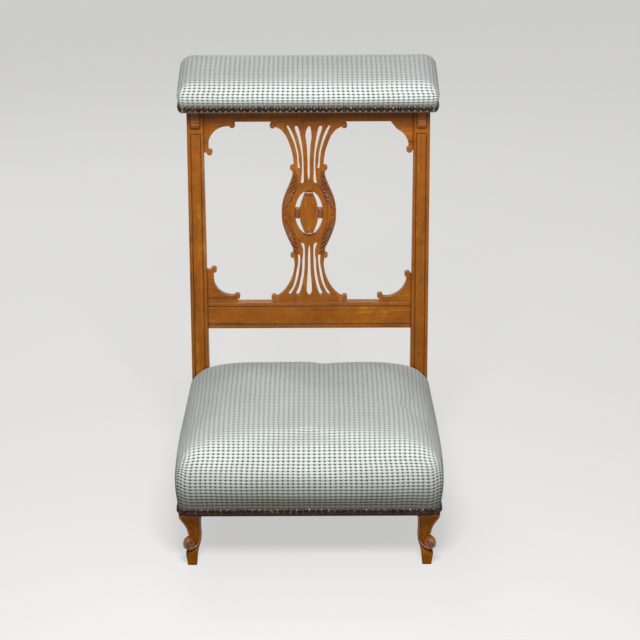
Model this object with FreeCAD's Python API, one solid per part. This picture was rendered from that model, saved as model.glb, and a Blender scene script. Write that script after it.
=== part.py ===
import FreeCAD, Part
import math
import os

from FreeCAD import Placement, Rotation, Vector

# Prayer chair with a low padded kneeler, in millimetres.
# X runs to the right as the kneeling person sees it from the front, Y runs away
# from them and Z is up. Until the last step, Y is zero at the posts' front faces.

# Back posts, which run from the floor to the armrest
post_spread = 449.0
post_top_width = 29.5
post_foot_width = 34.0
post_depth = 30.0
post_edge_round = 1.5
post_tenon_inset = 7.0
post_tenon_length = 11.0

# Sunk line that frames the front panel of each post
panel_width = 16.2
panel_side_inset = 5.6
panel_top_drop = 69.5
panel_foot_height = 175.0
groove_width = 2.2
groove_depth = 1.6

# Top rail and grooved lower rail between the posts
rail_setback = 8.0
rail_thickness = 20.0
top_rail_width = 49.4
lower_rail_width = 51.4
lower_rail_height = 302.3
rail_groove_inset = 7.9
rail_edge_round = 1.2
rail_tenon_length = 14.0
rail_tenon_thickness = 8.0
rail_tenon_inset = 8.0

# Carved splat, with its points as shares of its width and height
splat_width = 143.4
splat_thickness = 13.0
splat_setback = 9.0
splat_eye_radius = 5.2
curl_eye_radius = 4.5
splat_tenon_width = 52.0
splat_tenon_thickness = 7.0
splat_tenon_length = 9.0
splat_neck_share = 0.875
lower_flare_shares = [
    (0.875, 0.030), (0.795, 0.037), (0.735, 0.046), (0.662, 0.061), (0.524, 0.103),
    (0.459, 0.132), (0.391, 0.189), (0.384, 0.217), (0.400, 0.246),
]
waist_shares = [
    (0.417, 0.288), (0.424, 0.303), (0.483, 0.331), (0.603, 0.388), (0.688, 0.445),
    (0.711, 0.502), (0.681, 0.559), (0.586, 0.616), (0.470, 0.673), (0.428, 0.701),
    (0.418, 0.716), (0.435, 0.730),
]
upper_flare_shares = [
    (0.386, 0.764), (0.393, 0.787), (0.439, 0.844), (0.529, 0.899), (0.591, 0.926),
    (0.660, 0.945), (0.729, 0.959), (0.802, 0.967), (0.875, 0.974),
]
corner_eye_shares = [(0.927, 0.978), (0.927, 0.026)]
curl_eye_shares = [(0.425, 0.747), (0.425, 0.263)]
# Each slot as (height, left edge, right edge), from one end to the other
centre_slot_shares = [
    [(0.973, 0.0, 0.0), (0.935, -0.075, 0.075), (0.872, -0.053, 0.053), (0.815, -0.033, 0.033),
     (0.758, -0.024, 0.024), (0.701, -0.024, 0.024), (0.673, 0.0, 0.0)],
    [(0.320, 0.0, 0.0), (0.274, -0.028, 0.028), (0.217, -0.032, 0.032), (0.160, -0.042, 0.042),
     (0.103, -0.063, 0.063), (0.075, -0.068, 0.068), (0.052, -0.061, 0.061), (0.034, 0.0, 0.0)],
]
side_slot_shares = [
    [(0.978, 0.293, 0.321), (0.958, 0.248, 0.349), (0.929, 0.216, 0.310), (0.872, 0.170, 0.234),
     (0.815, 0.142, 0.184), (0.758, 0.134, 0.170), (0.701, 0.128, 0.184), (0.673, 0.127, 0.205),
     (0.659, 0.146, 0.209)],
    [(0.978, 0.523, 0.551), (0.958, 0.460, 0.541), (0.929, 0.396, 0.480), (0.872, 0.314, 0.372),
     (0.815, 0.262, 0.307), (0.758, 0.234, 0.287), (0.738, 0.240, 0.251)],
    [(0.340, 0.135, 0.174), (0.303, 0.116, 0.174), (0.246, 0.116, 0.172), (0.189, 0.124, 0.183),
     (0.132, 0.152, 0.226), (0.075, 0.209, 0.300), (0.052, 0.244, 0.342), (0.038, 0.293, 0.328)],
    [(0.269, 0.245, 0.265), (0.246, 0.234, 0.291), (0.189, 0.255, 0.318), (0.132, 0.300, 0.368),
     (0.075, 0.391, 0.471), (0.052, 0.450, 0.541), (0.038, 0.516, 0.544)],
]

# Oval medallion in the middle of the splat, with a pointed lens in its opening
medallion_height_share = 0.499
medallion_open_width = 52.6
medallion_open_height = 89.0
medallion_band = 8.2
medallion_end_band = 17.0
medallion_relief = 2.0
tab_width = 15.0
tab_side_height = 17.5
lens_relief = 1.2
# The lens as (height above the middle, half width), shares of the opening's halves
lens_shares = [
    (0.83, 0.27), (0.70, 0.38), (0.47, 0.53), (0.25, 0.62), (0.02, 0.66),
    (-0.20, 0.65), (-0.43, 0.57), (-0.65, 0.44), (-0.88, 0.21),
]

# Scrolled brackets in the four corners of the back, each cut a little differently
bracket_thickness = 12.0
bracket_setback = 9.0
bracket_eye_radius = 5.5
upper_left_bracket = {
    "rail_run": 53.5, "post_run": 58.4, "rail_arm": 8.3, "post_arm": 8.9,
    "sweep": 36.0, "rail_eye": 6.5, "post_eye": 10.6,
}
upper_right_bracket = {
    "rail_run": 42.8, "post_run": 54.6, "rail_arm": 11.9, "post_arm": 9.0,
    "sweep": 36.0, "rail_eye": None, "post_eye": 7.5,
}
lower_left_bracket = {
    "rail_run": 56.4, "post_run": 64.7, "rail_arm": 13.9, "post_arm": 12.7,
    "sweep": 33.0, "rail_eye": 11.8, "post_eye": 13.4,
}
lower_right_bracket = {
    "rail_run": 59.1, "post_run": 54.7, "rail_arm": 10.3, "post_arm": 9.3,
    "sweep": 39.5, "rail_eye": 11.8, "post_eye": 7.8,
}
chip_length = 12.0

# Small consoles on the posts that carry the armrest's overhang
corbel_width = 15.5
corbel_drop = 60.0
corbel_reach = 25.0
# The console's profile as (reach, height) shares, from its foot to the armrest
corbel_shares = [
    (0.00, 0.000), (0.22, 0.020), (0.42, 0.085), (0.46, 0.165), (0.36, 0.245),
    (0.34, 0.290), (0.42, 0.460), (0.62, 0.680), (0.88, 0.850),
]

# Armrest, tilted towards the kneeling person
arm_tilt = 10.0
arm_front_reach = 73.2
arm_underside_height = 741.4
arm_board_width = 468.0
arm_board_depth = 157.4
arm_board_thickness = 18.0
arm_board_corner = 8.0
arm_band_height = 14.0
arm_rise = 40.0
arm_bulge = 2.0
arm_crown_inset = 45.0
arm_corner_growth = 18.0
# Each level as (height, bulge, side inset, front inset, back inset, corner growth)
arm_level_shares = [
    (0.00, 0.0, 0.000, 0.000, 0.000, 0.00), (0.22, 0.6, 0.000, 0.000, 0.000, 0.08),
    (0.50, 1.0, 0.000, 0.000, 0.000, 0.20), (0.72, 0.4, 0.055, 0.078, 0.056, 0.34),
    (0.875, 0.0, 0.190, 0.227, 0.165, 0.55), (0.958, 0.0, 0.450, 0.515, 0.410, 0.88),
    (1.00, 0.0, 1.000, 1.000, 1.000, 1.00),
]

# Kneeler frame
kneeler_reach = 420.0
kneeler_front_width = 461.6
kneeler_back_run = 26.0
kneeler_underside = 100.0
seat_rail_width = 55.0
seat_rail_thickness = 22.0
seat_tenon_length = 16.0
seat_back_tenon_length = 13.0
seat_tenon_thickness = 8.0
seat_tenon_inset = 8.0
seat_tenon_side = 7.0
frame_front_corner = 14.0
frame_back_corner = 2.0

# Front legs, cut from the same block as the frame's corner stile
leg_block = 40.0
leg_corner_share = 0.12
# Each level as (height, outer face, inner face), shares of leg height and block
leg_level_shares = [
    (1.00, 0.02, 1.000), (0.93, 0.09, 0.995), (0.86, 0.19, 0.985), (0.78, 0.29, 0.975),
    (0.70, 0.365, 0.970), (0.61, 0.41, 0.975), (0.52, 0.45, 0.985), (0.44, 0.47, 0.965),
    (0.36, 0.43, 0.900), (0.29, 0.34, 0.855), (0.22, 0.30, 0.830), (0.12, 0.33, 0.800),
    (0.04, 0.355, 0.785), (0.00, 0.375, 0.775),
]
scroll_centre_share = 0.475
scroll_height = 41.0
scroll_radius = 12.7
scroll_thickness = 11.0
scroll_edge_round = 2.0
scroll_bead_radius = 1.5
scroll_bead_outer = 10.6
scroll_bead_inner = 4.6
scroll_bead_turns = 1.5
scroll_button_radius = 2.8

# Glued and screwed corner blocks inside the frame
corner_block_leg = 72.0
corner_block_height = 30.0
corner_block_lift = 10.0
screw_length = 54.0
screw_radius = 2.0
screw_head_radius = 4.2
screw_head_height = 2.4

# Jute webbing, hessian, stuffing and dust cover
webbing_width = 50.0
webbing_thickness = 2.0
webbing_bearing = 18.0
webbing_edge_inset = 4.0
long_webbing_count = 3
cross_webbing_count = 3
long_webbing_pitch = 105.0
cross_webbing_pitch = 112.0
hessian_thickness = 1.0
hessian_inset = 3.0
dust_cover_thickness = 0.6
dust_cover_inset = 6.0

# Kneeler cushion and its woven cover
cover_thickness = 1.2
seat_band_height = 18.0
seat_rise = 131.8
seat_bulge = 3.8
seat_side_inset = 136.0
seat_front_inset = 226.0
seat_back_inset = 96.0
seat_front_growth = 41.0
seat_back_growth = 53.0
# Each level as (height, bulge, side inset, front inset, back inset, front and back corner growth)
seat_level_shares = [
    (0.000, 0.0, 0.000, 0.000, 0.000, 0.00, 0.00), (0.165, 0.7, 0.000, 0.000, 0.000, 0.05, 0.15),
    (0.361, 1.0, 0.000, 0.000, 0.000, 0.12, 0.24), (0.541, 0.6, 0.000, 0.000, 0.010, 0.24, 0.38),
    (0.669, 0.2, 0.022, 0.020, 0.062, 0.34, 0.56), (0.774, 0.0, 0.090, 0.063, 0.158, 0.50, 0.74),
    (0.865, 0.0, 0.230, 0.173, 0.294, 0.68, 0.90), (0.932, 0.0, 0.435, 0.381, 0.460, 0.88, 1.00),
    (0.977, 0.0, 0.707, 0.669, 0.680, 1.00, 1.05), (0.993, 0.0, 0.870, 0.850, 0.860, 1.00, 1.05),
    (1.000, 0.0, 1.000, 1.000, 1.000, 1.00, 1.05),
]

# Antique upholstery nails, set edge to edge
nail_pitch = 11.0
nail_head_radius = 5.4
nail_head_height = 2.6
nail_shank_radius = 0.9
nail_shank_length = 9.0
nail_edge_gap = 3.6
arm_nail_edge_gap = 2.0

# Clearances, and one overrun for every cut
joint_gap = 0.2
soft_gap = 0.3
overrun = 60.0
# Most that an edge may lean, in degrees, and still count as running along an axis
edge_lean = 8.0

X = Vector(1, 0, 0)
Y = Vector(0, 1, 0)
Z = Vector(0, 0, 1)

tilt_slope = math.tan(math.radians(arm_tilt))
post_half_spread = post_spread / 2
rail_back = rail_setback + rail_thickness
lower_rail_top = lower_rail_height + lower_rail_width
frame_front = -kneeler_reach
frame_top = kneeler_underside + seat_rail_width
stack_top = frame_top + 2 * webbing_thickness + hessian_thickness
seat_band_top = kneeler_underside + seat_band_height


def underside(y):
    """Height of the tilted armrest's underside over a place on the Y axis."""
    return arm_underside_height + (y + arm_front_reach) * tilt_slope


post_height = underside(0)
top_rail_bottom = post_height - top_rail_width


def post_inner(z):
    """Half of the clear width between the tapering posts at a height."""
    width = post_foot_width + (post_top_width - post_foot_width) * z / post_height
    return post_half_spread - width


def frame_side(y):
    """Half of the kneeler frame's outer width at a place on the Y axis."""
    front_half = kneeler_front_width / 2
    return post_half_spread + (post_half_spread - front_half) * y / kneeler_reach


def box(x0, x1, y0, y1, z0, z1):
    return Part.makeBox(x1 - x0, y1 - y0, z1 - z0, Vector(x0, y0, z0))


def fused(shapes):
    return shapes[0].multiFuse(shapes[1:]).removeSplitter()


def mirrored(shape):
    return shape.mirror(Vector(0, 0, 0), X)


def rounded_wire(corners, radii, height):
    """Closed level outline with an arc at each corner."""
    points = [Vector(x, y, height) for x, y in corners]
    arcs = []
    for index, corner in enumerate(points):
        before = (points[index - 1] - corner).normalize()
        after = (points[(index + 1) % len(points)] - corner).normalize()
        half_angle = before.getAngle(after) / 2
        setback = radii[index] / math.tan(half_angle)
        middle = (before + after).normalize()
        reach = radii[index] / math.sin(half_angle)
        crest = corner + middle * (reach - radii[index])
        arcs.append((corner + before * setback, crest, corner + after * setback))
    edges = []
    for index, (start, crest, end) in enumerate(arcs):
        edges.append(Part.LineSegment(arcs[index - 1][2], start).toShape())
        edges.append(Part.Arc(start, crest, end).toShape())
    return Part.Wire(edges)


def level_prism(corners, radii, bottom, top):
    return Part.Face(rounded_wire(corners, radii, bottom)).extrude(Z * (top - bottom))


def upright(points, front, depth):
    """Solid with a straight-sided outline, given as (x, z), drawn out along Y."""
    corners = [Vector(x, front, z) for x, z in points]
    return Part.Face(Part.makePolygon(corners + corners[:1])).extrude(Y * depth)


def spline_edge(points, front):
    curve = Part.BSplineCurve()
    curve.interpolate([Vector(x, front, z) for x, z in points])
    return curve.toShape()


def spline_loop(points, front, depth):
    """Solid with one smooth closed outline, given as (x, z)."""
    curve = Part.BSplineCurve()
    curve.interpolate(Points=[Vector(x, front, z) for x, z in points], PeriodicFlag=True)
    return Part.Face(Part.Wire([curve.toShape()])).extrude(Y * depth)


def disc(x, z, radius, front, depth):
    return Part.makeCylinder(radius, depth, Vector(x, front, z), Y)


def oval(x, z, half_width, half_height, front, depth):
    """Upright oval plate around a centre."""
    centre = Vector(x, front, z)
    outline = Part.Ellipse(centre + Z * half_height, centre + X * half_width, centre)
    return Part.Face(Part.Wire([outline.toShape()])).extrude(Y * depth)


def level_edges(shape, axis, least):
    """Straight edges that run along an axis for at least a length."""
    found = []
    for edge in shape.Edges:
        if len(edge.Vertexes) < 2:
            continue
        run = edge.Vertexes[1].Point - edge.Vertexes[0].Point
        if run.Length >= least and abs(run.normalize().dot(axis)) > math.cos(math.radians(edge_lean)):
            found.append(edge)
    return found


def eased(shape, axis, least, radius):
    """The shape with its long edges along an axis rounded."""
    return shape.makeFillet(radius, level_edges(shape, axis, least))


arm_placement = Placement(Vector(0, -arm_front_reach, arm_underside_height), Rotation(X, arm_tilt))


def below_armrest(lift):
    """Everything under a plane that lies a little above the armrest's underside."""
    half = arm_board_width
    block = box(-half, half, -arm_board_depth, 2 * arm_board_depth, -2 * arm_underside_height, lift)
    block.Placement = arm_placement
    return block


# Posts
def post_prism(inset, front, back, top):
    """One tapering post, or the tenon inside it, on the right side."""
    points = [
        (post_inner(0) + inset, 0),
        (post_half_spread - inset, 0),
        (post_half_spread - inset, top),
        (post_inner(top) + inset, top),
    ]
    return upright(points, front, back - front)


def post_tenon(gap):
    """Tenon on the post's top, grown by a clearance for its mortise."""
    inset = post_tenon_inset - gap
    tall = post_prism(inset, inset, post_depth - inset, post_height + overrun)
    return tall.common(below_armrest(post_tenon_length + gap))


def panel_groove():
    """Sunk line round the post's front panel."""
    left = post_half_spread - panel_side_inset - 2 * groove_width - panel_width
    right = post_half_spread - panel_side_inset
    top = post_height - panel_top_drop
    outer = box(left, right, 0, groove_depth, panel_foot_height, top)
    inner = box(
        left + groove_width, right - groove_width, 0, groove_depth,
        panel_foot_height + groove_width, top - groove_width,
    )
    return outer.cut(inner)


def back_post():
    """Right-hand post with its panel line, top tenon and mortises."""
    body = post_prism(0, 0, post_depth, post_height + overrun)
    body = eased(body, Z, post_height, post_edge_round)
    body = body.common(below_armrest(0))
    body = fused([body, post_tenon(0)])
    body = body.cut(panel_groove())
    return body.cut(Part.makeCompound([
        rail_tenon(top_rail_bottom, top_rail_bottom + top_rail_width, joint_gap),
        rail_tenon(lower_rail_height, lower_rail_top, joint_gap),
        seat_back_tenon(joint_gap),
        side_rail_tenon(0, joint_gap),
    ]))


# Rails of the back
def rail_tenon(bottom, top, gap):
    """Tenon of a back rail in the right-hand post, grown by a clearance for its mortise."""
    middle = rail_setback + rail_thickness / 2
    half = rail_tenon_thickness / 2 + gap
    start = post_inner((bottom + top) / 2) - overrun
    end = post_inner((bottom + top) / 2) + rail_tenon_length + gap
    return box(
        start, end, middle - half, middle + half,
        bottom + rail_tenon_inset - gap, top - rail_tenon_inset + gap,
    )


def back_rail(bottom, top):
    """Rail that fits between the tapering posts, with a tenon at each end."""
    points = [
        (-post_inner(bottom), bottom), (post_inner(bottom), bottom),
        (post_inner(top), top), (-post_inner(top), top),
    ]
    body = upright(points, rail_setback, rail_thickness)
    body = eased(body, X, 2 * post_inner(top) - overrun, rail_edge_round)
    tenon = rail_tenon(bottom, top, 0)
    return fused([body, tenon, mirrored(tenon)])


def top_rail():
    """Top rail, cut to the slope of the armrest."""
    high = underside(rail_back) + rail_edge_round
    points = [
        (-post_inner(top_rail_bottom), top_rail_bottom), (post_inner(top_rail_bottom), top_rail_bottom),
        (post_inner(high), high), (-post_inner(high), high),
    ]
    body = upright(points, rail_setback, rail_thickness)
    body = eased(body, X, 2 * post_inner(high) - overrun, rail_edge_round)
    tenon = rail_tenon(top_rail_bottom, top_rail_bottom + top_rail_width, 0)
    body = fused([body, tenon, mirrored(tenon)]).common(below_armrest(0))
    return body.cut(splat_tenon(top_rail_bottom, 1, joint_gap))


def lower_back_rail():
    """Lower rail with a sunk line along its top and bottom edges."""
    body = back_rail(lower_rail_height, lower_rail_top)
    half = post_inner(lower_rail_height)
    front = rail_setback
    for centre in (lower_rail_height + rail_groove_inset, lower_rail_top - rail_groove_inset):
        low = centre - groove_width / 2
        body = body.cut(box(-half, half, front, front + groove_depth, low, low + groove_width))
    return body.cut(splat_tenon(lower_rail_top, -1, joint_gap))


# Splat
splat_half = splat_width / 2
splat_rise = top_rail_bottom - lower_rail_top
medallion_height = lower_rail_top + medallion_height_share * splat_rise


def splat_point(share):
    return (share[0] * splat_half, lower_rail_top + share[1] * splat_rise)


def splat_tenon(height, direction, gap):
    """Stub tenon of the splat in the rail above or below it."""
    half = splat_tenon_width / 2 + gap
    front = splat_setback + (splat_thickness - splat_tenon_thickness) / 2 - gap
    reach = height + direction * (splat_tenon_length + gap)
    inside = height - direction * splat_tenon_length
    low = min(reach, inside)
    high = max(reach, inside)
    return box(-half, half, front, front + splat_tenon_thickness + 2 * gap, low, high)


def splat_half_blank():
    """Right half of the splat's outline, without its scroll eyes."""
    front = splat_setback
    flares = [
        [splat_point(share) for share in shares]
        for shares in (lower_flare_shares, waist_shares, upper_flare_shares)
    ]
    neck = splat_neck_share * splat_half
    edges = []
    last = (neck, lower_rail_top)
    for flare in flares:
        edges.append(Part.makeLine(Vector(last[0], front, last[1]), Vector(flare[0][0], front, flare[0][1])))
        edges.append(spline_edge(flare, front))
        last = flare[-1]
    for x, z in ((neck, top_rail_bottom), (0, top_rail_bottom), (0, lower_rail_top), (neck, lower_rail_top)):
        edges.append(Part.makeLine(Vector(last[0], front, last[1]), Vector(x, front, z)))
        last = (x, z)
    return Part.Face(Part.Wire(edges)).extrude(Y * splat_thickness)


def splat_slots():
    """The pierced slots above and below the medallion."""
    cutters = []
    depth = splat_thickness + 2 * overrun
    for shares in centre_slot_shares + side_slot_shares:
        left = [splat_point((row[1], row[0])) for row in shares]
        right = [splat_point((row[2], row[0])) for row in shares]
        loop = left + right[::-1]
        if shares in centre_slot_shares:
            loop = left[:-1] + right[:0:-1]
        cutter = spline_loop(loop, splat_setback - overrun, depth)
        cutters.append(cutter)
        if shares in side_slot_shares:
            cutters.append(mirrored(cutter))
    return cutters


def medallion_lens(front, depth):
    """Pointed lens in the middle of the oval opening."""
    half_width = medallion_open_width / 2
    half_height = medallion_open_height / 2
    right = [(half_width * x, medallion_height + half_height * z) for z, x in lens_shares]
    return spline_loop(right + [(-x, z) for x, z in right[::-1]], front, depth)


def lens_tabs(front, depth):
    """The four tabs that hold the lens, as one upright and one level bar."""
    half_width = medallion_open_width / 2
    half_height = medallion_open_height / 2
    upright_tab = box(
        -tab_width / 2, tab_width / 2, front, front + depth,
        medallion_height - half_height, medallion_height + half_height,
    )
    side_tab = box(
        -half_width, half_width, front, front + depth,
        medallion_height - tab_side_height / 2, medallion_height + tab_side_height / 2,
    )
    return [upright_tab, side_tab]


def splat():
    """Pierced splat with its scroll eyes, medallion band and stub tenons."""
    front = splat_setback
    half = splat_half_blank()
    solids = [half]
    for share in corner_eye_shares:
        x, z = splat_point(share)
        solids.append(disc(x, z, splat_eye_radius, front, splat_thickness))
    for share in curl_eye_shares:
        x, z = splat_point(share)
        solids.append(disc(x, z, curl_eye_radius, front, splat_thickness))
    body = fused(solids + [mirrored(solid) for solid in solids])
    body = body.cut(Part.makeCompound(splat_slots()))
    half_width = medallion_open_width / 2
    half_height = medallion_open_height / 2
    depth = splat_thickness + 2 * overrun
    opening = oval(0, medallion_height, half_width, half_height, front - overrun, depth)
    for piece in [medallion_lens(front - overrun, depth)] + lens_tabs(front - overrun, depth):
        opening = opening.cut(piece)
    body = body.cut(opening)
    band = oval(
        0, medallion_height, half_width + medallion_band, half_height + medallion_end_band,
        front - medallion_relief, 2 * medallion_relief,
    )
    band = band.cut(oval(0, medallion_height, half_width, half_height, front - overrun, depth))
    body = fused([body, band, medallion_lens(front - lens_relief, 2 * lens_relief)])
    return fused([body, splat_tenon(top_rail_bottom, 1, 0), splat_tenon(lower_rail_top, -1, 0)])


# Corner brackets
def corner_bracket(sizes, rail_height, upward):
    """Bracket in a right-hand corner, growing up or down from a rail."""
    def place(run, rise):
        z = rail_height + upward * rise
        return (post_inner(z) - run, z)

    sweep = sizes["sweep"]
    arc_run = sizes["post_arm"] + sweep
    arc_rise = sizes["rail_arm"] + sweep
    corners = [(0, 0), (sizes["rail_run"], 0)]
    arc_start = (arc_run, sizes["rail_arm"])
    if sizes["rail_eye"] is None:
        run = sizes["rail_run"] - chip_length
        arc_start = (run, arc_rise - math.sqrt(sweep ** 2 - (arc_run - run) ** 2))
    else:
        corners.append((sizes["rail_run"], sizes["rail_arm"]))
    arc_end = (sizes["post_arm"], arc_rise)
    diagonal = sweep / math.sqrt(2)
    arc_middle = (arc_run - diagonal, arc_rise - diagonal)
    tip = [(sizes["post_arm"], sizes["post_run"]), (0, sizes["post_run"])]
    front = bracket_setback

    def point(pair):
        x, z = place(*pair)
        return Vector(x, front, z)

    path = [point(pair) for pair in corners + [arc_start]]
    edges = [Part.makeLine(a, b) for a, b in zip(path, path[1:])]
    edges.append(Part.Arc(point(arc_start), point(arc_middle), point(arc_end)).toShape())
    path = [point(pair) for pair in [arc_end] + tip + [(0, 0)]]
    edges += [Part.makeLine(a, b) for a, b in zip(path, path[1:])]
    solids = [Part.Face(Part.Wire(edges)).extrude(Y * bracket_thickness)]
    eyes = [(sizes["post_eye"], sizes["post_run"])]
    if sizes["rail_eye"] is not None:
        eyes.append((sizes["rail_run"], sizes["rail_eye"]))
    for eye in eyes:
        x, z = place(*eye)
        solids.append(disc(x, z, bracket_eye_radius, front, bracket_thickness))
    return fused(solids)


def armrest_corbel():
    """Right-hand console under the armrest, on the post's front panel line."""
    left = post_half_spread - panel_side_inset - groove_width - panel_width
    left += (panel_width - corbel_width) / 2
    foot = post_height - corbel_drop
    profile = [
        Vector(left, -reach * corbel_reach, foot + height * corbel_drop)
        for reach, height in corbel_shares
    ]
    curve = Part.BSplineCurve()
    curve.interpolate(profile)
    top = post_height + overrun
    corners = [
        profile[-1], Vector(left, -corbel_reach, post_height), Vector(left, -corbel_reach, top),
        Vector(left, 0, top), profile[0],
    ]
    edges = [curve.toShape()] + [Part.makeLine(a, b) for a, b in zip(corners, corners[1:])]
    body = Part.Face(Part.Wire(edges)).extrude(X * corbel_width)
    return body.common(below_armrest(0))


# Kneeler frame
def frame_outline(side, front, back, front_radius, back_radius):
    """Outline of the kneeler, grown or drawn in, with its corner radii."""
    start = frame_front - front
    end = kneeler_back_run + back
    corners = [
        (-frame_side(start) - side, start), (frame_side(start) + side, start),
        (frame_side(end) + side, end), (-frame_side(end) - side, end),
    ]
    return corners, [front_radius, front_radius, back_radius, back_radius]


def frame_prism(grow, bottom, top):
    corners, radii = frame_outline(grow, grow, grow, frame_front_corner + grow, frame_back_corner + grow)
    return level_prism(corners, radii, bottom, top)


def post_zone(gap):
    """Space behind and beside the kneeler's back corners, where the posts stand."""
    inner = post_inner(0) - gap
    right = box(inner, inner + post_spread, -gap, post_spread, -overrun, post_height)
    return Part.makeCompound([right, mirrored(right)])


def frame_slope():
    return (frame_side(frame_front) - frame_side(0)) / kneeler_reach


def seat_front_tenon(gap):
    """Right-hand tenon of the front rail in the leg's block."""
    inner = kneeler_front_width / 2 - leg_block
    front = frame_front + seat_tenon_side - gap
    return box(
        inner - overrun, inner + seat_tenon_length + gap, front, front + seat_tenon_thickness + 2 * gap,
        kneeler_underside + seat_tenon_inset - gap, frame_top - seat_tenon_inset + gap,
    )


def side_rail_tenon(shoulder, gap):
    """Tenon of the right-hand side rail past its front or back shoulder."""
    away = 1 if shoulder == 0 else -1
    outer = frame_side(shoulder) - seat_tenon_side + gap
    inner = outer - seat_tenon_thickness - 2 * gap
    ends = sorted([shoulder - away * seat_tenon_length, shoulder + away * (seat_tenon_length + gap)])
    return box(
        inner, outer, ends[0], ends[1],
        kneeler_underside + seat_tenon_inset - gap, frame_top - seat_tenon_inset + gap,
    )


def seat_back_tenon(gap):
    """Right-hand tenon of the kneeler's back rail in the post."""
    front = kneeler_back_run - seat_rail_thickness / 2 - seat_tenon_thickness / 2 - gap
    inner = post_inner(kneeler_underside)
    return box(
        inner - overrun, inner + seat_back_tenon_length + gap, front, front + seat_tenon_thickness + 2 * gap,
        kneeler_underside + seat_tenon_inset - gap, frame_top - seat_tenon_inset + gap,
    )


def seat_front_rail():
    inner = kneeler_front_width / 2 - leg_block
    body = box(
        -inner, inner, frame_front, frame_front + seat_rail_thickness, kneeler_underside, frame_top,
    )
    tenon = seat_front_tenon(0)
    return fused([body, tenon, mirrored(tenon)])


def seat_side_rail():
    """Right-hand side rail, from the front leg's block to the post."""
    start = frame_front + leg_block
    corners = [
        (frame_side(start) - seat_rail_thickness, start), (frame_side(start), start),
        (frame_side(0), 0), (frame_side(0) - seat_rail_thickness, 0),
    ]
    points = [Vector(x, y, kneeler_underside) for x, y in corners]
    body = Part.Face(Part.makePolygon(points + points[:1])).extrude(Z * seat_rail_width)
    return fused([body, side_rail_tenon(start, 0), side_rail_tenon(0, 0)])


def seat_back_rail():
    low = kneeler_underside
    points = [
        (-post_inner(low), low), (post_inner(low), low),
        (post_inner(frame_top), frame_top), (-post_inner(frame_top), frame_top),
    ]
    body = upright(points, kneeler_back_run - seat_rail_thickness, seat_rail_thickness)
    tenon = seat_back_tenon(0)
    return fused([body, tenon, mirrored(tenon)])


def front_corner_block():
    """Three-cornered block behind the right front leg."""
    corner_y = frame_front + seat_rail_thickness
    corner_x = frame_side(corner_y) - seat_rail_thickness
    leg_y = corner_y + corner_block_leg
    points = [
        (corner_x, corner_y), (frame_side(leg_y) - seat_rail_thickness, leg_y),
        (corner_x - corner_block_leg, corner_y),
    ]
    return corner_block(points).cut(stile())


def back_corner_block():
    """Three-cornered block in front of the right-hand post."""
    corner_y = kneeler_back_run - seat_rail_thickness
    corner_x = frame_side(0) - seat_rail_thickness
    leg_y = corner_y - corner_block_leg
    points = [
        (corner_x, corner_y), (corner_x - corner_block_leg, corner_y),
        (frame_side(leg_y) - seat_rail_thickness, leg_y), (corner_x, 0),
    ]
    return corner_block(points).cut(post_zone(0))


def corner_block(points):
    low = kneeler_underside + corner_block_lift
    corners = [Vector(x, y, low) for x, y in points]
    return Part.Face(Part.makePolygon(corners + corners[:1])).extrude(Z * corner_block_height)


def corner_screw(seat, direction):
    """Screw with its flat head on the block's long face."""
    start = seat - direction * screw_head_height
    head = Part.makeCylinder(screw_head_radius, screw_head_height, start, direction)
    shank = Part.makeCylinder(screw_radius, screw_length, seat, direction)
    return fused([head, shank])


def block_screws():
    """Screws of the right-hand blocks: one into the leg, one into the post."""
    level = kneeler_underside + corner_block_lift + corner_block_height / 2
    front_y = frame_front + seat_rail_thickness
    front_x = frame_side(front_y) - seat_rail_thickness
    end_y = front_y + corner_block_leg
    end_x = frame_side(end_y) - seat_rail_thickness
    front_seat = Vector((front_x - corner_block_leg + end_x) / 2, (front_y + end_y) / 2, level)
    front_run = Vector(end_y - front_y, -(end_x - front_x + corner_block_leg), 0).normalize()
    back_y = kneeler_back_run - seat_rail_thickness
    back_x = frame_side(0) - seat_rail_thickness
    end_y = back_y - corner_block_leg
    end_x = frame_side(end_y) - seat_rail_thickness
    back_seat = Vector((back_x - corner_block_leg + end_x) / 2, (back_y + end_y) / 2, level)
    back_run = Vector(back_y - end_y, end_x - back_x + corner_block_leg, 0).normalize()
    return [corner_screw(front_seat, front_run), corner_screw(back_seat, back_run)]


# Front legs
def stile():
    """The leg's square block inside the right front corner of the frame."""
    outer = kneeler_front_width / 2
    block = box(
        outer - leg_block, outer, frame_front, frame_front + leg_block, kneeler_underside, frame_top,
    )
    return block.common(frame_prism(0, kneeler_underside, frame_top))


def leg_shaft():
    """Curved leg as a run of rounded squares, each set in from the frame's corner."""
    corner_x = kneeler_front_width / 2
    corner_y = frame_front
    wires = []
    for height, outer, inner in leg_level_shares:
        near = outer * leg_block
        far = inner * leg_block
        corners = [
            (corner_x - far, corner_y + near), (corner_x - near, corner_y + near),
            (corner_x - near, corner_y + far), (corner_x - far, corner_y + far),
        ]
        radius = leg_corner_share * (far - near)
        wires.append(rounded_wire(corners, [radius] * len(corners), height * kneeler_underside))
    return Part.makeLoft(wires, True, False)


def spiral_bead(side):
    """Raised bead that winds in to the scroll's eye on one of its faces."""
    steps = 24
    run = scroll_bead_outer - scroll_bead_inner
    level = side * scroll_thickness / 2
    points = []
    for step in range(steps + 1):
        share = step / steps
        angle = 2 * math.pi * scroll_bead_turns * share - math.pi / 2
        radius = scroll_bead_outer - run * share
        points.append(Vector(radius * math.cos(angle), radius * math.sin(angle), level))
    curve = Part.BSplineCurve()
    curve.interpolate(points)
    path = Part.Wire([curve.toShape()])
    tangent = curve.tangent(curve.FirstParameter)[0]
    profile = Part.Wire([Part.Circle(points[0], tangent, scroll_bead_radius).toShape()])
    return path.makePipeShell([profile], True, False)


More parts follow.
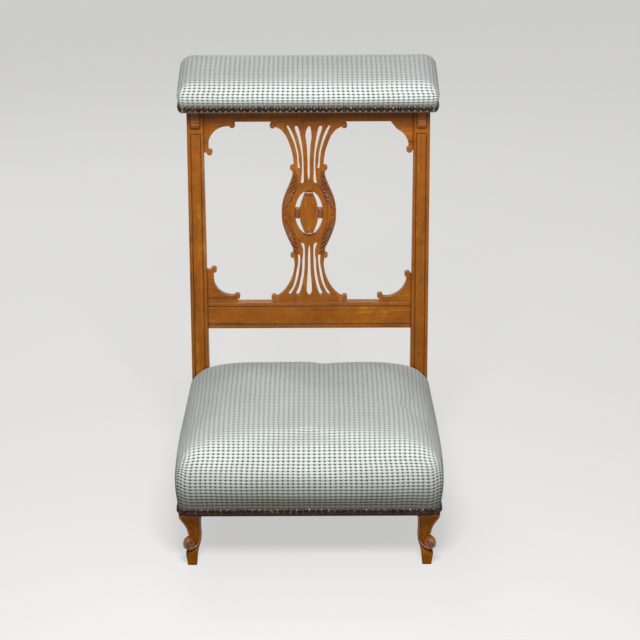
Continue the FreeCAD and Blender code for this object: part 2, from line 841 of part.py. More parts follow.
def leg_scroll():
    """Scroll of the right leg, whose axis lies across the corner's diagonal."""
    body = Part.makeCylinder(scroll_radius, scroll_thickness, Z * (-scroll_thickness / 2), Z)
    body = body.makeFillet(scroll_edge_round, [edge for edge in body.Edges if len(edge.Vertexes) == 1])
    button = Part.makeCylinder(
        scroll_button_radius, scroll_thickness + 2 * scroll_bead_radius,
        Z * (-scroll_thickness / 2 - scroll_bead_radius), Z,
    )
    body = body.fuse([button, spiral_bead(1), spiral_bead(-1)])
    inset = scroll_centre_share * leg_block
    centre = Vector(kneeler_front_width / 2 - inset, frame_front + inset, scroll_height)
    body.Placement = Placement(centre, Rotation(Vector(1, -1, 0), Z, Vector(-1, -1, 0), "XYZ"))
    return body


def front_leg():
    body = leg_shaft().fuse([leg_scroll(), stile()])
    body = body.cut(seat_front_tenon(joint_gap))
    return body.cut(side_rail_tenon(frame_front + leg_block, joint_gap))


# Seat of the kneeler
def long_webbing():
    """Strips from the front rail to the back rail."""
    start = frame_front + webbing_edge_inset
    end = kneeler_back_run - webbing_edge_inset
    first = -long_webbing_pitch * (long_webbing_count - 1) / 2
    strips = []
    for index in range(long_webbing_count):
        left = first + index * long_webbing_pitch - webbing_width / 2
        strips.append(box(
            left, left + webbing_width, start, end, frame_top, frame_top + webbing_thickness,
        ))
    return Part.makeCompound(strips)


def cross_webbing():
    """Strips from side to side, which step up over the long ones."""
    middle = (frame_front + kneeler_back_run) / 2
    first = middle - cross_webbing_pitch * (cross_webbing_count - 1) / 2
    low = frame_top
    high = low + webbing_thickness
    strips = []
    for index in range(cross_webbing_count):
        front = first + index * cross_webbing_pitch - webbing_width / 2
        end = frame_side(front) - webbing_edge_inset
        if index == cross_webbing_count - 1:
            end = frame_side(front + webbing_width) - webbing_edge_inset
        step = end - webbing_bearing
        slope_end = step - webbing_bearing
        points = [
            (-end, low), (-step, low), (-slope_end, high), (slope_end, high), (step, low), (end, low),
            (end, high), (step, high), (slope_end, high + webbing_thickness),
            (-slope_end, high + webbing_thickness), (-step, high), (-end, high),
        ]
        strips.append(upright(points, front, webbing_width))
    return Part.makeCompound(strips)


def seat_hessian():
    body = frame_prism(-hessian_inset / 2, stack_top - hessian_thickness, stack_top)
    return body.cut(post_zone(hessian_inset))


def seat_loft(skin):
    """Crowned cushion above the nail line: the stuffing, or the cover's outside."""
    wires = []
    for row in seat_level_shares:
        height, bulge, side, front, back, front_round, back_round = row
        out = skin + bulge * seat_bulge
        corners, radii = frame_outline(
            out - side * seat_side_inset, out - front * seat_front_inset, out - back * seat_back_inset,
            frame_front_corner + skin + front_round * seat_front_growth,
            frame_back_corner + skin + back_round * seat_back_growth,
        )
        level = seat_band_top + height * (seat_rise + skin)
        wires.append(rounded_wire(corners, radii, level))
    return Part.makeLoft(wires, True, False)


def above(shape, height):
    """The part of a shape that lies over a level."""
    span = post_spread
    return shape.common(box(-span, span, -2 * span, span, height, height + span))


def under(shape, height):
    """The part of a shape that lies below a level."""
    span = post_spread
    return shape.common(box(-span, span, -2 * span, span, -overrun, height))


def seat_stuffing():
    return above(seat_loft(0), stack_top).cut(post_zone(soft_gap))


def seat_edge_wadding():
    """Thin roll that pads the outer faces of the rails under the cover."""
    roll = under(seat_loft(0), stack_top).cut(frame_prism(0, kneeler_underside, post_height))
    return roll.cut(post_zone(soft_gap))


def seat_cover(holes):
    """Woven cover: a crowned skin above a band that the nails hold to the rails."""
    skin = seat_loft(cover_thickness).cut(seat_loft(0)).cut(post_zone(soft_gap))
    band = frame_prism(cover_thickness, kneeler_underside, seat_band_top)
    band = band.cut(frame_prism(0, kneeler_underside - overrun, post_height))
    return skin.fuse(band.cut(post_zone(soft_gap)).cut(holes))


def dust_cover():
    """Thin cloth under the kneeler, cut out round the legs and posts."""
    inset = -dust_cover_inset
    corners, radii = frame_outline(inset, inset, inset, frame_front_corner, frame_back_corner)
    sheet = level_prism(corners, radii, kneeler_underside - dust_cover_thickness, kneeler_underside)
    outer = kneeler_front_width / 2
    reach = leg_block + soft_gap
    corner = box(
        outer - reach, outer, frame_front, frame_front + reach,
        kneeler_underside - overrun, kneeler_underside,
    )
    return sheet.cut([corner, mirrored(corner), post_zone(soft_gap)])


# Armrest, made level with its front lower edge at the origin, then tilted into place
def board_outline(side, front, back, radius):
    half = arm_board_width / 2 + side
    corners = [
        (-half, -front), (half, -front), (half, arm_board_depth + back), (-half, arm_board_depth + back),
    ]
    return corners, [radius] * len(corners)


def board_prism(grow, bottom, top):
    corners, radii = board_outline(grow, grow, grow, arm_board_corner + grow)
    return level_prism(corners, radii, bottom, top)


def arm_loft(skin):
    """Crowned armrest pad above its nail line: the stuffing, or the cover's outside."""
    wires = []
    for height, bulge, side, front, back, corner in arm_level_shares:
        out = skin + bulge * arm_bulge
        corners, radii = board_outline(
            out - side * arm_crown_inset, out - front * arm_crown_inset, out - back * arm_crown_inset,
            arm_board_corner + skin + corner * arm_corner_growth,
        )
        wires.append(rounded_wire(corners, radii, arm_band_height + height * (arm_rise + skin)))
    return Part.makeLoft(wires, True, False)


def placed_on_posts(shape):
    moved = shape.copy()
    moved.Placement = arm_placement.multiply(moved.Placement)
    return moved


def armrest_board():
    """Tilted board with mortises for the posts' top tenons."""
    board = placed_on_posts(board_prism(0, 0, arm_board_thickness))
    mortise = post_tenon(joint_gap)
    return board.cut([mortise, mirrored(mortise)])


def armrest_stuffing():
    pad = arm_loft(0).cut(board_prism(0, -overrun, arm_board_thickness))
    return placed_on_posts(above(pad, arm_band_height))


def armrest_cover(holes):
    """Woven cover of the armrest, with a nailed band round the board's edge."""
    skin = arm_loft(cover_thickness).cut(arm_loft(0))
    band = board_prism(cover_thickness, 0, arm_band_height)
    band = band.cut(board_prism(0, -overrun, overrun))
    return placed_on_posts(skin.fuse(band.cut(holes)))


# Upholstery nails
def upholstery_nail(grow):
    """Domed nail that points along -Z with its head's back at the origin."""
    dome = (nail_head_radius ** 2 + nail_head_height ** 2) / (2 * nail_head_height)
    ball = Part.makeSphere(dome, Z * (nail_head_height - dome))
    head = ball.common(Part.makeCylinder(nail_head_radius, nail_head_height, Vector(0, 0, 0), Z))
    length = nail_shank_length + grow
    shank = Part.makeCylinder(nail_shank_radius + grow, length, Vector(0, 0, 0), -Z)
    if grow:
        return shank
    return head.fuse(shank)


def nail_run(start, end, outward):
    """Places along a straight run, edge to edge, as (point, outward direction)."""
    run = end - start
    count = max(1, round(run.Length / nail_pitch))
    return [(start + run * ((index + 1 / 2) / count), outward) for index in range(count)]


def nail_corner(centre, radius, first, last):
    """Places round a rounded corner, between two directions given in degrees."""
    length = radius * math.radians(abs(last - first))
    count = max(1, round(length / nail_pitch))
    places = []
    for index in range(count):
        angle = math.radians(first + (last - first) * (index + 1 / 2) / count)
        outward = Vector(math.cos(angle), math.sin(angle), 0)
        places.append((centre + outward * radius, outward))
    return places


def nails_at(places, grow):
    nail = upholstery_nail(grow)
    nails = []
    for point, outward in places:
        copy = nail.copy()
        copy.Placement = Placement(point, Rotation(Z, outward))
        nails.append(copy)
    return nails


def seat_nail_places():
    """Nails round the kneeler: sides, rounded front corners, front, and back."""
    level = kneeler_underside + nail_edge_gap + nail_head_radius
    radius = frame_front_corner + cover_thickness
    front = frame_front - cover_thickness
    side = frame_side(frame_front) + cover_thickness
    turn = math.degrees(math.atan(frame_slope()))
    end = -nail_head_radius - soft_gap
    places = nail_run(
        Vector(-side + radius, front, level), Vector(side - radius, front, level), Vector(0, -1, 0),
    )
    right_centre = Vector(side - radius, front + radius, level)
    outward = Vector(math.cos(math.radians(turn)), math.sin(math.radians(turn)), 0)
    right = nail_corner(right_centre, radius, -90, turn)
    right += nail_run(
        right_centre + outward * radius, Vector(frame_side(end) + cover_thickness, end, level), outward,
    )
    left = [(Vector(-p.x, p.y, p.z), Vector(-o.x, o.y, o.z)) for p, o in right]
    rear = kneeler_back_run + cover_thickness
    half = post_inner(0) - nail_head_radius / 2
    back = nail_run(Vector(-half, rear, level), Vector(half, rear, level), Y)
    return places + right + left + back


def arm_nail_places():
    """Nails round all four sides of the armrest, before it is tilted."""
    level = arm_nail_edge_gap + nail_head_radius
    radius = arm_board_corner + cover_thickness
    half = arm_board_width / 2 + cover_thickness
    front = -cover_thickness
    back = arm_board_depth + cover_thickness
    places = nail_run(
        Vector(-half + radius, front, level), Vector(half - radius, front, level), Vector(0, -1, 0),
    )
    places += nail_run(Vector(-half + radius, back, level), Vector(half - radius, back, level), Y)
    right = nail_run(Vector(half, radius + front, level), Vector(half, back - radius, level), X)
    right += nail_corner(Vector(half - radius, front + radius, level), radius, -90, 0)
    right += nail_corner(Vector(half - radius, back - radius, level), radius, 0, 90)
    left = [(Vector(-p.x, p.y, p.z), Vector(-o.x, o.y, o.z)) for p, o in right]
    return places + right + left


def build_all():
    """Every node by name, with nail and screw holes cut to their fasteners."""
    post = back_post()
    side_rail = seat_side_rail()
    front_block = front_corner_block()
    back_block = back_corner_block()
    corbel = armrest_corbel()
    leg = front_leg()
    seat_places = seat_nail_places()
    seat_holes = Part.makeCompound(nails_at(seat_places, joint_gap))
    arm_places = arm_nail_places()
    arm_holes = Part.makeCompound(nails_at(arm_places, joint_gap))
    parts = {
        "right_back_post": post,
        "left_back_post": mirrored(post),
        "top_rail": top_rail(),
        "lower_back_rail": lower_back_rail(),
        "splat": splat(),
        "upper_left_bracket": mirrored(corner_bracket(upper_left_bracket, top_rail_bottom, -1)),
        "upper_right_bracket": corner_bracket(upper_right_bracket, top_rail_bottom, -1),
        "lower_left_bracket": mirrored(corner_bracket(lower_left_bracket, lower_rail_top, 1)),
        "lower_right_bracket": corner_bracket(lower_right_bracket, lower_rail_top, 1),
        "right_armrest_corbel": corbel,
        "left_armrest_corbel": mirrored(corbel),
        "seat_front_rail": seat_front_rail(),
        "seat_right_rail": side_rail,
        "seat_left_rail": mirrored(side_rail),
        "seat_back_rail": seat_back_rail(),
        "front_right_corner_block": front_block,
        "front_left_corner_block": mirrored(front_block),
        "back_right_corner_block": back_block,
        "back_left_corner_block": mirrored(back_block),
        "right_front_leg": leg,
        "left_front_leg": mirrored(leg),
        "seat_long_webbing": long_webbing(),
        "seat_cross_webbing": cross_webbing(),
        "seat_hessian": seat_hessian(),
        "seat_edge_wadding": seat_edge_wadding(),
        "seat_stuffing": seat_stuffing(),
        "seat_cover": seat_cover(seat_holes),
        "seat_dust_cover": dust_cover(),
        "armrest_board": armrest_board(),
        "armrest_stuffing": armrest_stuffing(),
        "armrest_cover": armrest_cover(arm_holes),
    }
    screws = block_screws()
    screws += [mirrored(screw) for screw in screws]
    shanks = Part.makeCompound(screws)
    for name in parts:
        if "corner_block" in name or "front_leg" in name or "back_post" in name:
            parts[name] = parts[name].cut(shanks)
    parts["corner_block_screws"] = shanks
    for name in ("seat_front_rail", "seat_right_rail", "seat_left_rail", "seat_back_rail",
                 "right_front_leg", "left_front_leg"):
        parts[name] = parts[name].cut(seat_holes)
    parts["seat_nails"] = Part.makeCompound(nails_at(seat_places, 0))
    parts["armrest_board"] = parts["armrest_board"].cut(placed_on_posts(arm_holes))
    parts["armrest_nails"] = placed_on_posts(Part.makeCompound(nails_at(arm_places, 0)))
    return parts


# Stand the chair on the floor with the middle of its outline over the origin
all_parts = build_all()
extent = Part.makeCompound(list(all_parts.values())).optimalBoundingBox(False, False)
to_origin = Vector(-extent.Center.x, -extent.Center.y, -extent.ZMin)
os.makedirs("parts", exist_ok=True)
for name, shape in all_parts.items():
    shape.translated(to_origin).exportStep("parts/" + name + ".step")
    print(name, len(shape.Solids), "solids,", round(shape.Volume / 1000, 1), "cm3, valid", shape.isValid())
print("size", extent.XLength, extent.YLength, extent.ZLength, "moved", to_origin)
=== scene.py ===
import bpy
import math
from functools import partial
import numpy as np
from mathutils import Matrix, Vector, noise


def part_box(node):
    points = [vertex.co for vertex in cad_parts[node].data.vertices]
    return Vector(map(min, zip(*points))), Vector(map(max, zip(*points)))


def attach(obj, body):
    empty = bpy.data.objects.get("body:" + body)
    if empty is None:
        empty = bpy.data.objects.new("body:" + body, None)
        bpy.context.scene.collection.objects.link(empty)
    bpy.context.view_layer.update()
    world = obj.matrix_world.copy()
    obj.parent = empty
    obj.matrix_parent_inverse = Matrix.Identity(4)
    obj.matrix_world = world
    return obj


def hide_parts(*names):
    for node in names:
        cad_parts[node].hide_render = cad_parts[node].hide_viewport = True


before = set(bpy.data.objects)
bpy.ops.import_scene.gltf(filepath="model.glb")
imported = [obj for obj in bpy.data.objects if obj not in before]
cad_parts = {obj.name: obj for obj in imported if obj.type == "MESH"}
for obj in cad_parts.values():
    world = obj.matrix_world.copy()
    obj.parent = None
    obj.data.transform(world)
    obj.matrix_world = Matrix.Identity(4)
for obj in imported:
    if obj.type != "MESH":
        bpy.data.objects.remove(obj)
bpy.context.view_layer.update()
print("frame loaded:", len(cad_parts), "nodes")

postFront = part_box("right_back_post")[0].y  # every depth below is measured from the posts' front faces


# small helpers, used all through
def setMode(mode):
    bpy.ops.object.mode_set(mode=mode)


def deselectAll():
    if bpy.context.object and bpy.context.object.mode != "OBJECT":
        setMode("OBJECT")
    bpy.ops.object.select_all(action="DESELECT")


def pickOnly(piece):
    deselectAll()
    piece.select_set(True)
    bpy.context.view_layer.objects.active = piece


def smoothByAngle(piece, degrees):
    pickOnly(piece)
    bpy.ops.object.shade_smooth_by_angle(angle=math.radians(degrees))


def keepPiece(piece, name, material, angle):
    smoothByAngle(piece, angle)
    piece.name = name
    piece.data.name = name
    piece.data.materials.clear()
    piece.data.materials.append(material)
    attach(piece, "root")


def joinPieces(pieces):
    deselectAll()
    for piece in pieces:
        piece.select_set(True)
    bpy.context.view_layer.objects.active = pieces[0]
    bpy.ops.object.join()
    return pieces[0]


def placedCopy(piece, place):
    twin = piece.copy()
    twin.data = piece.data.copy()
    twin.data.transform(place)
    bpy.context.collection.objects.link(twin)
    return twin


def applyModifier(piece, kind, **settings):
    pickOnly(piece)
    modifier = piece.modifiers.new(kind.title(), kind)
    for key, value in settings.items():
        setattr(modifier, key, value)
    bpy.ops.object.modifier_apply(modifier=modifier.name)


def editAll(piece):
    pickOnly(piece)
    setMode("EDIT")
    bpy.ops.mesh.select_all(action="SELECT")


def turnOutward(piece):
    editAll(piece)
    bpy.ops.mesh.normals_make_consistent(inside=False)
    setMode("OBJECT")


def resizeMesh(piece, size):
    editAll(piece)
    bpy.ops.transform.resize(value=size)
    setMode("OBJECT")


def deleteFaces(piece, unwanted, kind):
    editAll(piece)
    bpy.ops.mesh.select_all(action="DESELECT")
    setMode("OBJECT")
    for face in piece.data.polygons:
        face.select = unwanted(face)
    setMode("EDIT")
    bpy.ops.mesh.delete(type=kind)
    setMode("OBJECT")


# node helpers: a value that is itself a socket is linked, anything else is set
def startMaterial(name):
    material = bpy.data.materials.new(name)
    material.use_nodes = True
    return material, material.node_tree.nodes["Principled BSDF"]


def fillSockets(material, node, sockets):
    for key, value in sockets.items():
        if isinstance(value, bpy.types.NodeSocket):
            material.node_tree.links.new(value, node.inputs[key])
        else:
            node.inputs[key].default_value = value


def addNode(material, kind, sockets=None, **settings):
    node = material.node_tree.nodes.new(kind)
    for key, value in settings.items():
        setattr(node, key, value)
    fillSockets(material, node, sockets or {})
    return node


def addMath(material, operation, first, second=0.0, third=0.0):
    sockets = {0: first, 1: second, 2: third}
    return addNode(material, "ShaderNodeMath", sockets, operation=operation).outputs[0]


def addRamp(material, factor, stops):
    node = addNode(material, "ShaderNodeValToRGB", {0: factor})
    elements = node.color_ramp.elements
    while len(elements) < len(stops):
        elements.new(0.5)
    for element, (place, colour) in zip(elements, stops):
        element.position = place
        element.color = (*colour, 1)
    return node.outputs[0]


def addMix(material, factor, first, second, blend="MIX"):
    return addNode(
        material, "ShaderNodeMix", {0: factor, 6: first, 7: second}, data_type="RGBA", blend_type=blend,
    ).outputs[2]


def addNoise(material, vector, scale, detail=4.0, roughness=0.5, distortion=0.0):
    return addNode(material, "ShaderNodeTexNoise", {
        "Vector": vector, "Scale": scale, "Detail": detail, "Roughness": roughness,
        "Distortion": distortion,
    }).outputs[0]


def addBump(material, height, strength, distance, **sockets):
    sockets.update(Height=height, Strength=strength, Distance=distance)
    return addNode(material, "ShaderNodeBump", sockets).outputs[0]


def objectPlace(material):
    return addNode(material, "ShaderNodeTexCoord").outputs["Object"]


def grey(value):
    return (value, value, value)


# polished wood: fine pores and streaks along the grain, painted shade in the corners and recesses, and
# edges painted paler, partly as wear and partly as a painted highlight
honeyLooks = {
    "dark": (0.140, 0.033, 0.0013), "middle": (0.315, 0.093, 0.0030), "light": (0.50, 0.19, 0.012),
    "recessShade": (0.016, 0.004, 0.001), "wornAndHighlit": (0.58, 0.25, 0.070),
    "grainStretch": 0.07, "fleckStretch": 0.3,
    "figureScale": 30.0, "streakScale": 120.0, "poreScale": 700.0,
    "fleckScale": 300.0, "cloudScale": 26.0,
    # weights of figure, streaks, clouds and flecks in the grain, and how far the other marks show: pores,
    # edges (wear and painted highlight) and corners (painted shade)
    "grainWeights": (0.22, 0.36, 0.16, 0.26), "pores": 0.45, "edges": 0.45, "corners": 0.92,
    "recessShadeReach": 0.0045, "edgeRound": 0.0012, "roughness": 0.22, "specular": 0.28,
}
# carved wood: redder and glossier, with darker painted shade in its recesses, and paler, pinker edges
# that are partly wear and partly a painted highlight
carvedLooks = dict(
    honeyLooks, dark=(0.085, 0.022, 0.004), middle=(0.240, 0.070, 0.012), light=(0.42, 0.15, 0.040),
    recessShade=(0.010, 0.003, 0.001), wornAndHighlit=(0.62, 0.31, 0.16), recessShadeReach=0.0034,
    roughness=0.12, specular=0.5,
)
# the legs' wood: a darker, redder copy of the honey wood, partly the legs' own redder tone and partly
# painted shade, for the legs standing low under the kneeler
legLooks = dict(
    honeyLooks, dark=(0.100, 0.026, 0.001), middle=(0.235, 0.070, 0.002), light=(0.38, 0.14, 0.008),
    wornAndHighlit=(0.46, 0.20, 0.065), roughness=0.32, specular=0.10,
)
plainLooks = dict(
    honeyLooks, dark=(0.10, 0.045, 0.018), middle=(0.19, 0.095, 0.040), light=(0.30, 0.165, 0.080),
    recessShade=(0.03, 0.014, 0.006), wornAndHighlit=(0.34, 0.20, 0.10),
)


def makeWood(name, grainAxis, looks, shift=0.0):
    material, shader = startMaterial(name)
    calc = partial(addMath, material)
    place = objectPlace(material)

    def stretchedPlace(share, moved):
        scale = [looks[share] if axis == grainAxis else 1.0 for axis in "XYZ"]
        return addNode(material, "ShaderNodeMapping", {
            "Vector": place, "Scale": scale, "Location": (moved, moved * 0.7, moved * 0.3),
        }).outputs[0]

    along = stretchedPlace("grainStretch", shift)
    figure = addNoise(material, along, looks["figureScale"], 4.0, 0.55, 0.8)
    streak = addNoise(material, along, looks["streakScale"], 6.0, 0.6, 0.6)
    pores = addNoise(material, along, looks["poreScale"], 2.0)
    cloud = addNoise(material, place, looks["cloudScale"], 5.0, 0.6)
    fleck = addNoise(material, stretchedPlace("fleckStretch", 0.0), looks["fleckScale"], 3.0, 0.7)
    grain = 0.0
    for part, weight in zip((figure, streak, cloud, fleck), looks["grainWeights"]):
        grain = calc("MULTIPLY_ADD", part, weight, grain)
    colour = addRamp(material, grain, [
        (0.37, looks["dark"]), (0.46, looks["middle"]), (0.53, looks["middle"]), (0.63, looks["light"]),
    ])
    poreMask = addRamp(material, pores, [(0.57, grey(0.0)), (0.70, grey(1.0))])
    colour = addMix(material, calc("MULTIPLY", poreMask, looks["pores"]), colour, (*looks["dark"], 1))
    wear = addRamp(material, cloud, [(0.35, grey(0.86)), (0.65, grey(1.10))])
    colour = addMix(material, 1.0, colour, wear, "MULTIPLY")
    # painted shade: ambient occlusion darkens corners, joints and recesses towards the recess shade
    # colour
    aoShade = addNode(material, "ShaderNodeAmbientOcclusion", {"Distance": looks["recessShadeReach"]}, samples=8)
    aoShadeMask = addRamp(material, aoShade.outputs["AO"], [(0.35, grey(1.0)), (0.88, grey(0.0))])
    # edges, found from a bevelled normal, are painted paler: partly wear, partly a painted highlight
    softEdge = addNode(material, "ShaderNodeBevel", {"Radius": looks["edgeRound"]}, samples=4).outputs[0]
    flatNormal = addNode(material, "ShaderNodeNewGeometry").outputs["Normal"]
    bend = addNode(
        material, "ShaderNodeVectorMath", {0: softEdge, 1: flatNormal}, operation="DOT_PRODUCT",
    ).outputs["Value"]
    edgeWearAndHighlight = addRamp(material, bend, [(0.80, grey(1.0)), (0.99, grey(0.0))])
    colour = addMix(material, calc("MULTIPLY", edgeWearAndHighlight, looks["edges"]), colour, (*looks["wornAndHighlit"], 1))
    colour = addMix(material, calc("MULTIPLY", aoShadeMask, looks["corners"]), colour, (*looks["recessShade"], 1))
    rough = calc("MULTIPLY_ADD", poreMask, 0.15, calc("MULTIPLY_ADD", cloud, 0.25, looks["roughness"]))
    height = calc("SUBTRACT", calc("MULTIPLY", streak, 0.5), poreMask)
    fillSockets(material, shader, {
        "Base Color": colour, "Roughness": rough, "Specular IOR Level": looks["specular"],
        "Normal": addBump(material, height, 0.2, 0.0006, Normal=softEdge),
    })
    return material


# woven cover: pale ribs from back to front, crossed by closer rows, with a dark hole where both dip
weave = {
    "ribPitch": 0.00886, "rowPitch": 0.0063,
    "holeLength": 0.0024, "holeWidth": 0.00120, "holeSlant": 24.0, "rowSlant": 0.16,
    # relief in metres: the whole cloth's lift, then how deep ribs, rows and holes dip
    "lift": 0.0014, "ribDip": 0.0004, "rowDip": 0.0011, "holeDip": 0.0009, "dipPower": 1.5,
    # the nails hold the cloth flat; the relief is back this far above them
    "pressedBelow": 0.012,
    # low on the wall, up to this share of the pad's rise, rows deepen and holes close, and the rows'
    # painted shade grows darker
    "lowWall": 0.38, "lowRows": 0.5, "lowHoles": 0.7,
    # on top, away from the front, the pillows are pressed flat, so ribs and holes show less, and the top
    # tone darkens the top as painted shade
    "topFrom": 0.20, "topFull": 0.70, "topShade": (0.70, 0.70, 0.69), "topContrast": 0.42,
    # the flat cloth turns from the top's run to the front's over this drop, and sways a little
    "turnDrop": 0.035, "swayScale": 26, "sway": 0.0007,
    "pale": (0.755, 0.815, 0.815), "valley": (0.42, 0.45, 0.435), "hole": (0.040, 0.052, 0.052),
    # how far rows, ribs and the threads' twist pull the tone from pale to valley; the darker valley tone
    # is painted shade in the dips between the pillows
    "rowTone": 0.75, "ribTone": 0.45, "twistTone": 0.5,
    "fibreScale": 1700.0, "twistScale": 380.0, "blotchScale": 7.0,
    # painted shade, darkest at the nails and fading out upwards
    "lowShade": [(0.00, (0.045, 0.026, 0.019)), (0.035, (0.22, 0.20, 0.17)), (0.20, (0.38, 0.375, 0.34)),
             (0.42, (0.74, 0.745, 0.73)), (0.62, (1.0, 1.0, 1.0))],
}


def makeWeave(name):
    material, shader = startMaterial(name)
    calc = partial(addMath, material)
    cloth = addNode(material, "ShaderNodeUVMap", uv_map="cloth").outputs[0]
    split = addNode(material, "ShaderNodeSeparateXYZ", {0: cloth})
    upWall, onTop, unshaded = (
        addNode(material, "ShaderNodeAttribute", attribute_name=key).outputs["Fac"]
        for key in ("upWall", "onTop", "unshaded")
    )
    contrast = calc("MULTIPLY_ADD", onTop, -weave["topContrast"], 1.0)
    low = addNode(material, "ShaderNodeMapRange", {
        "Value": upWall, "From Min": 0.0, "From Max": weave["lowWall"], "To Min": 1.0, "To Max": 0.0,
    }).outputs[0]
    # each pillow slants between its ribs, so a row's line runs as a row of slanted dashes
    ribTurns = calc("DIVIDE", split.outputs[0], weave["ribPitch"])
    inPillow = calc("SUBTRACT", calc("FRACT", ribTurns), 0.5)
    slanted = calc("MULTIPLY_ADD", inPillow, weave["rowSlant"] * weave["ribPitch"], split.outputs[1])
    rowTurns = calc("DIVIDE", slanted, weave["rowPitch"])
    holeTurns = calc("DIVIDE", split.outputs[1], weave["rowPitch"])
    dips, offsets = [], []
    for turns in (ribTurns, rowTurns):
        wave = calc("ABSOLUTE", calc("SINE", calc("MULTIPLY", turns, math.pi)))
        dips.append(calc("POWER", calc("SUBTRACT", 1.0, wave), weave["dipPower"]))
    for turns, pitch in ((ribTurns, weave["ribPitch"]), (holeTurns, weave["rowPitch"])):
        offsets.append(calc("MULTIPLY", calc("SUBTRACT", turns, calc("ROUND", turns)), pitch))
    sine, cosine = math.sin(math.radians(weave["holeSlant"])), math.cos(math.radians(weave["holeSlant"]))
    along = calc("MULTIPLY_ADD", offsets[1], -sine, calc("MULTIPLY", offsets[0], cosine))
    across = calc("MULTIPLY_ADD", offsets[0], sine, calc("MULTIPLY", offsets[1], cosine))
    squares = [
        calc("POWER", calc("DIVIDE", offset, size), 2.0)
        for offset, size in ((along, weave["holeLength"]), (across, weave["holeWidth"]))
    ]
    hole = addNode(material, "ShaderNodeMapRange", {
        "Value": calc("ADD", *squares), "From Min": 1.5, "From Max": 0.45,
    }, interpolation_type="SMOOTHSTEP").outputs[0]
    hole = calc("MULTIPLY", hole, calc("MULTIPLY_ADD", low, -weave["lowHoles"], contrast))
    # low on the wall the rows' painted shade grows darker, as if each row shaded the one below
    rowTone = calc("MULTIPLY", dips[1], calc("MULTIPLY_ADD", low, weave["lowRows"], weave["rowTone"]))
    valley = calc("MULTIPLY", calc("MULTIPLY_ADD", dips[0], weave["ribTone"], rowTone), contrast)
    fibre = addNoise(material, cloth, weave["fibreScale"], 2.0, 0.6)
    twist = addNoise(material, cloth, weave["twistScale"], 3.0, 0.6)
    blotch = addNoise(material, cloth, weave["blotchScale"], 3.0, 0.6)
    valley = calc("MULTIPLY_ADD", calc("SUBTRACT", twist, 0.5), weave["twistTone"], valley)
    # the dips are painted darker towards the valley tone, as painted shade
    colour = addRamp(material, valley, [(0.05, weave["pale"]), (0.75, weave["valley"])])
    colour = addMix(material, hole, colour, (*weave["hole"], 1))
    # painted shade: ambient occlusion darkens the cloth by the nails and in the holes
    aoShade = addNode(material, "ShaderNodeAmbientOcclusion", {"Distance": 0.003}, samples=8).outputs["AO"]
    for share, tone in (
        (1.0, addRamp(material, blotch, [(0.35, (0.93, 0.915, 0.88)), (0.62, grey(1.0))])),
        # painted shade, darker towards the nails
        (1.0, addRamp(material, unshaded, weave["lowShade"])),
        # painted shade on the top
        (onTop, (*weave["topShade"], 1)),
        (1.0, addRamp(material, fibre, [(0.30, grey(0.86)), (0.70, grey(1.06))])),
        (1.0, addRamp(material, aoShade, [(0.25, grey(0.30)), (0.85, grey(1.0))])),
    ):
        colour = addMix(material, share, colour, tone, "MULTIPLY")
    fillSockets(material, shader, {
        "Base Color": colour, "Roughness": 0.88, "Sheen Weight": 0.15, "Sheen Roughness": 0.5,
        "Specular IOR Level": 0.25, "Normal": addBump(material, calc("ADD", fibre, twist), 0.5, 0.0005),
    })
    return material


nailLooks = {
    "patchScale": 160.0, "beatenScale": 700.0, "roughness": 0.20, "roughnessSpread": 0.26,
    "bronze": [
        (0.36, (0.014, 0.007, 0.005)), (0.55, (0.055, 0.025, 0.017)), (0.70, (0.15, 0.085, 0.064)),
    ],
}


def makeNailMetal(name):
    material, shader = startMaterial(name)
    place = objectPlace(material)
    patch = addNoise(material, place, nailLooks["patchScale"], 3.0, 0.6)
    beaten = addNoise(material, place, nailLooks["beatenScale"], 2.0)
    spread = nailLooks["roughnessSpread"]
    rough = addMath(material, "MULTIPLY_ADD", beaten, spread, nailLooks["roughness"])
    fillSockets(material, shader, {
        "Base Color": addRamp(material, patch, nailLooks["bronze"]), "Metallic": 0.8, "Roughness": rough,
        "Normal": addBump(material, beaten, 0.5, 0.0006),
    })
    return material


def makeScrewSteel(name):
    material, shader = startMaterial(name)
    dirt = addNoise(material, objectPlace(material), 300.0, 3.0, 0.6)
    colour = addRamp(material, dirt, [(0.35, (0.16, 0.14, 0.12)), (0.65, (0.46, 0.45, 0.43))])
    rough = addMath(material, "MULTIPLY_ADD", dirt, 0.4, 0.25)
    fillSockets(material, shader, {"Base Color": colour, "Metallic": 0.9, "Roughness": rough})
    return material


def makePlainCloth(name, threadPitch, pale, dark, depth):
    material, shader = startMaterial(name)
    calc = partial(addMath, material)
    place = objectPlace(material)
    split = addNode(material, "ShaderNodeSeparateXYZ", {0: place})
    waves = []
    for axis in (0, 1):
        turns = calc("MULTIPLY", split.outputs[axis], math.pi / threadPitch)
        waves.append(calc("ABSOLUTE", calc("SINE", turns)))
    fuzz = addNoise(material, place, 900.0, 3.0, 0.6)
    tone = calc("MULTIPLY_ADD", fuzz, 0.4, calc("MULTIPLY", calc("MULTIPLY", *waves), 0.6))
    fillSockets(material, shader, {
        "Base Color": addRamp(material, tone, [(0.15, dark), (0.75, pale)]), "Roughness": 0.92,
        "Specular IOR Level": 0.2, "Normal": addBump(material, tone, 0.6, depth),
    })
    return material


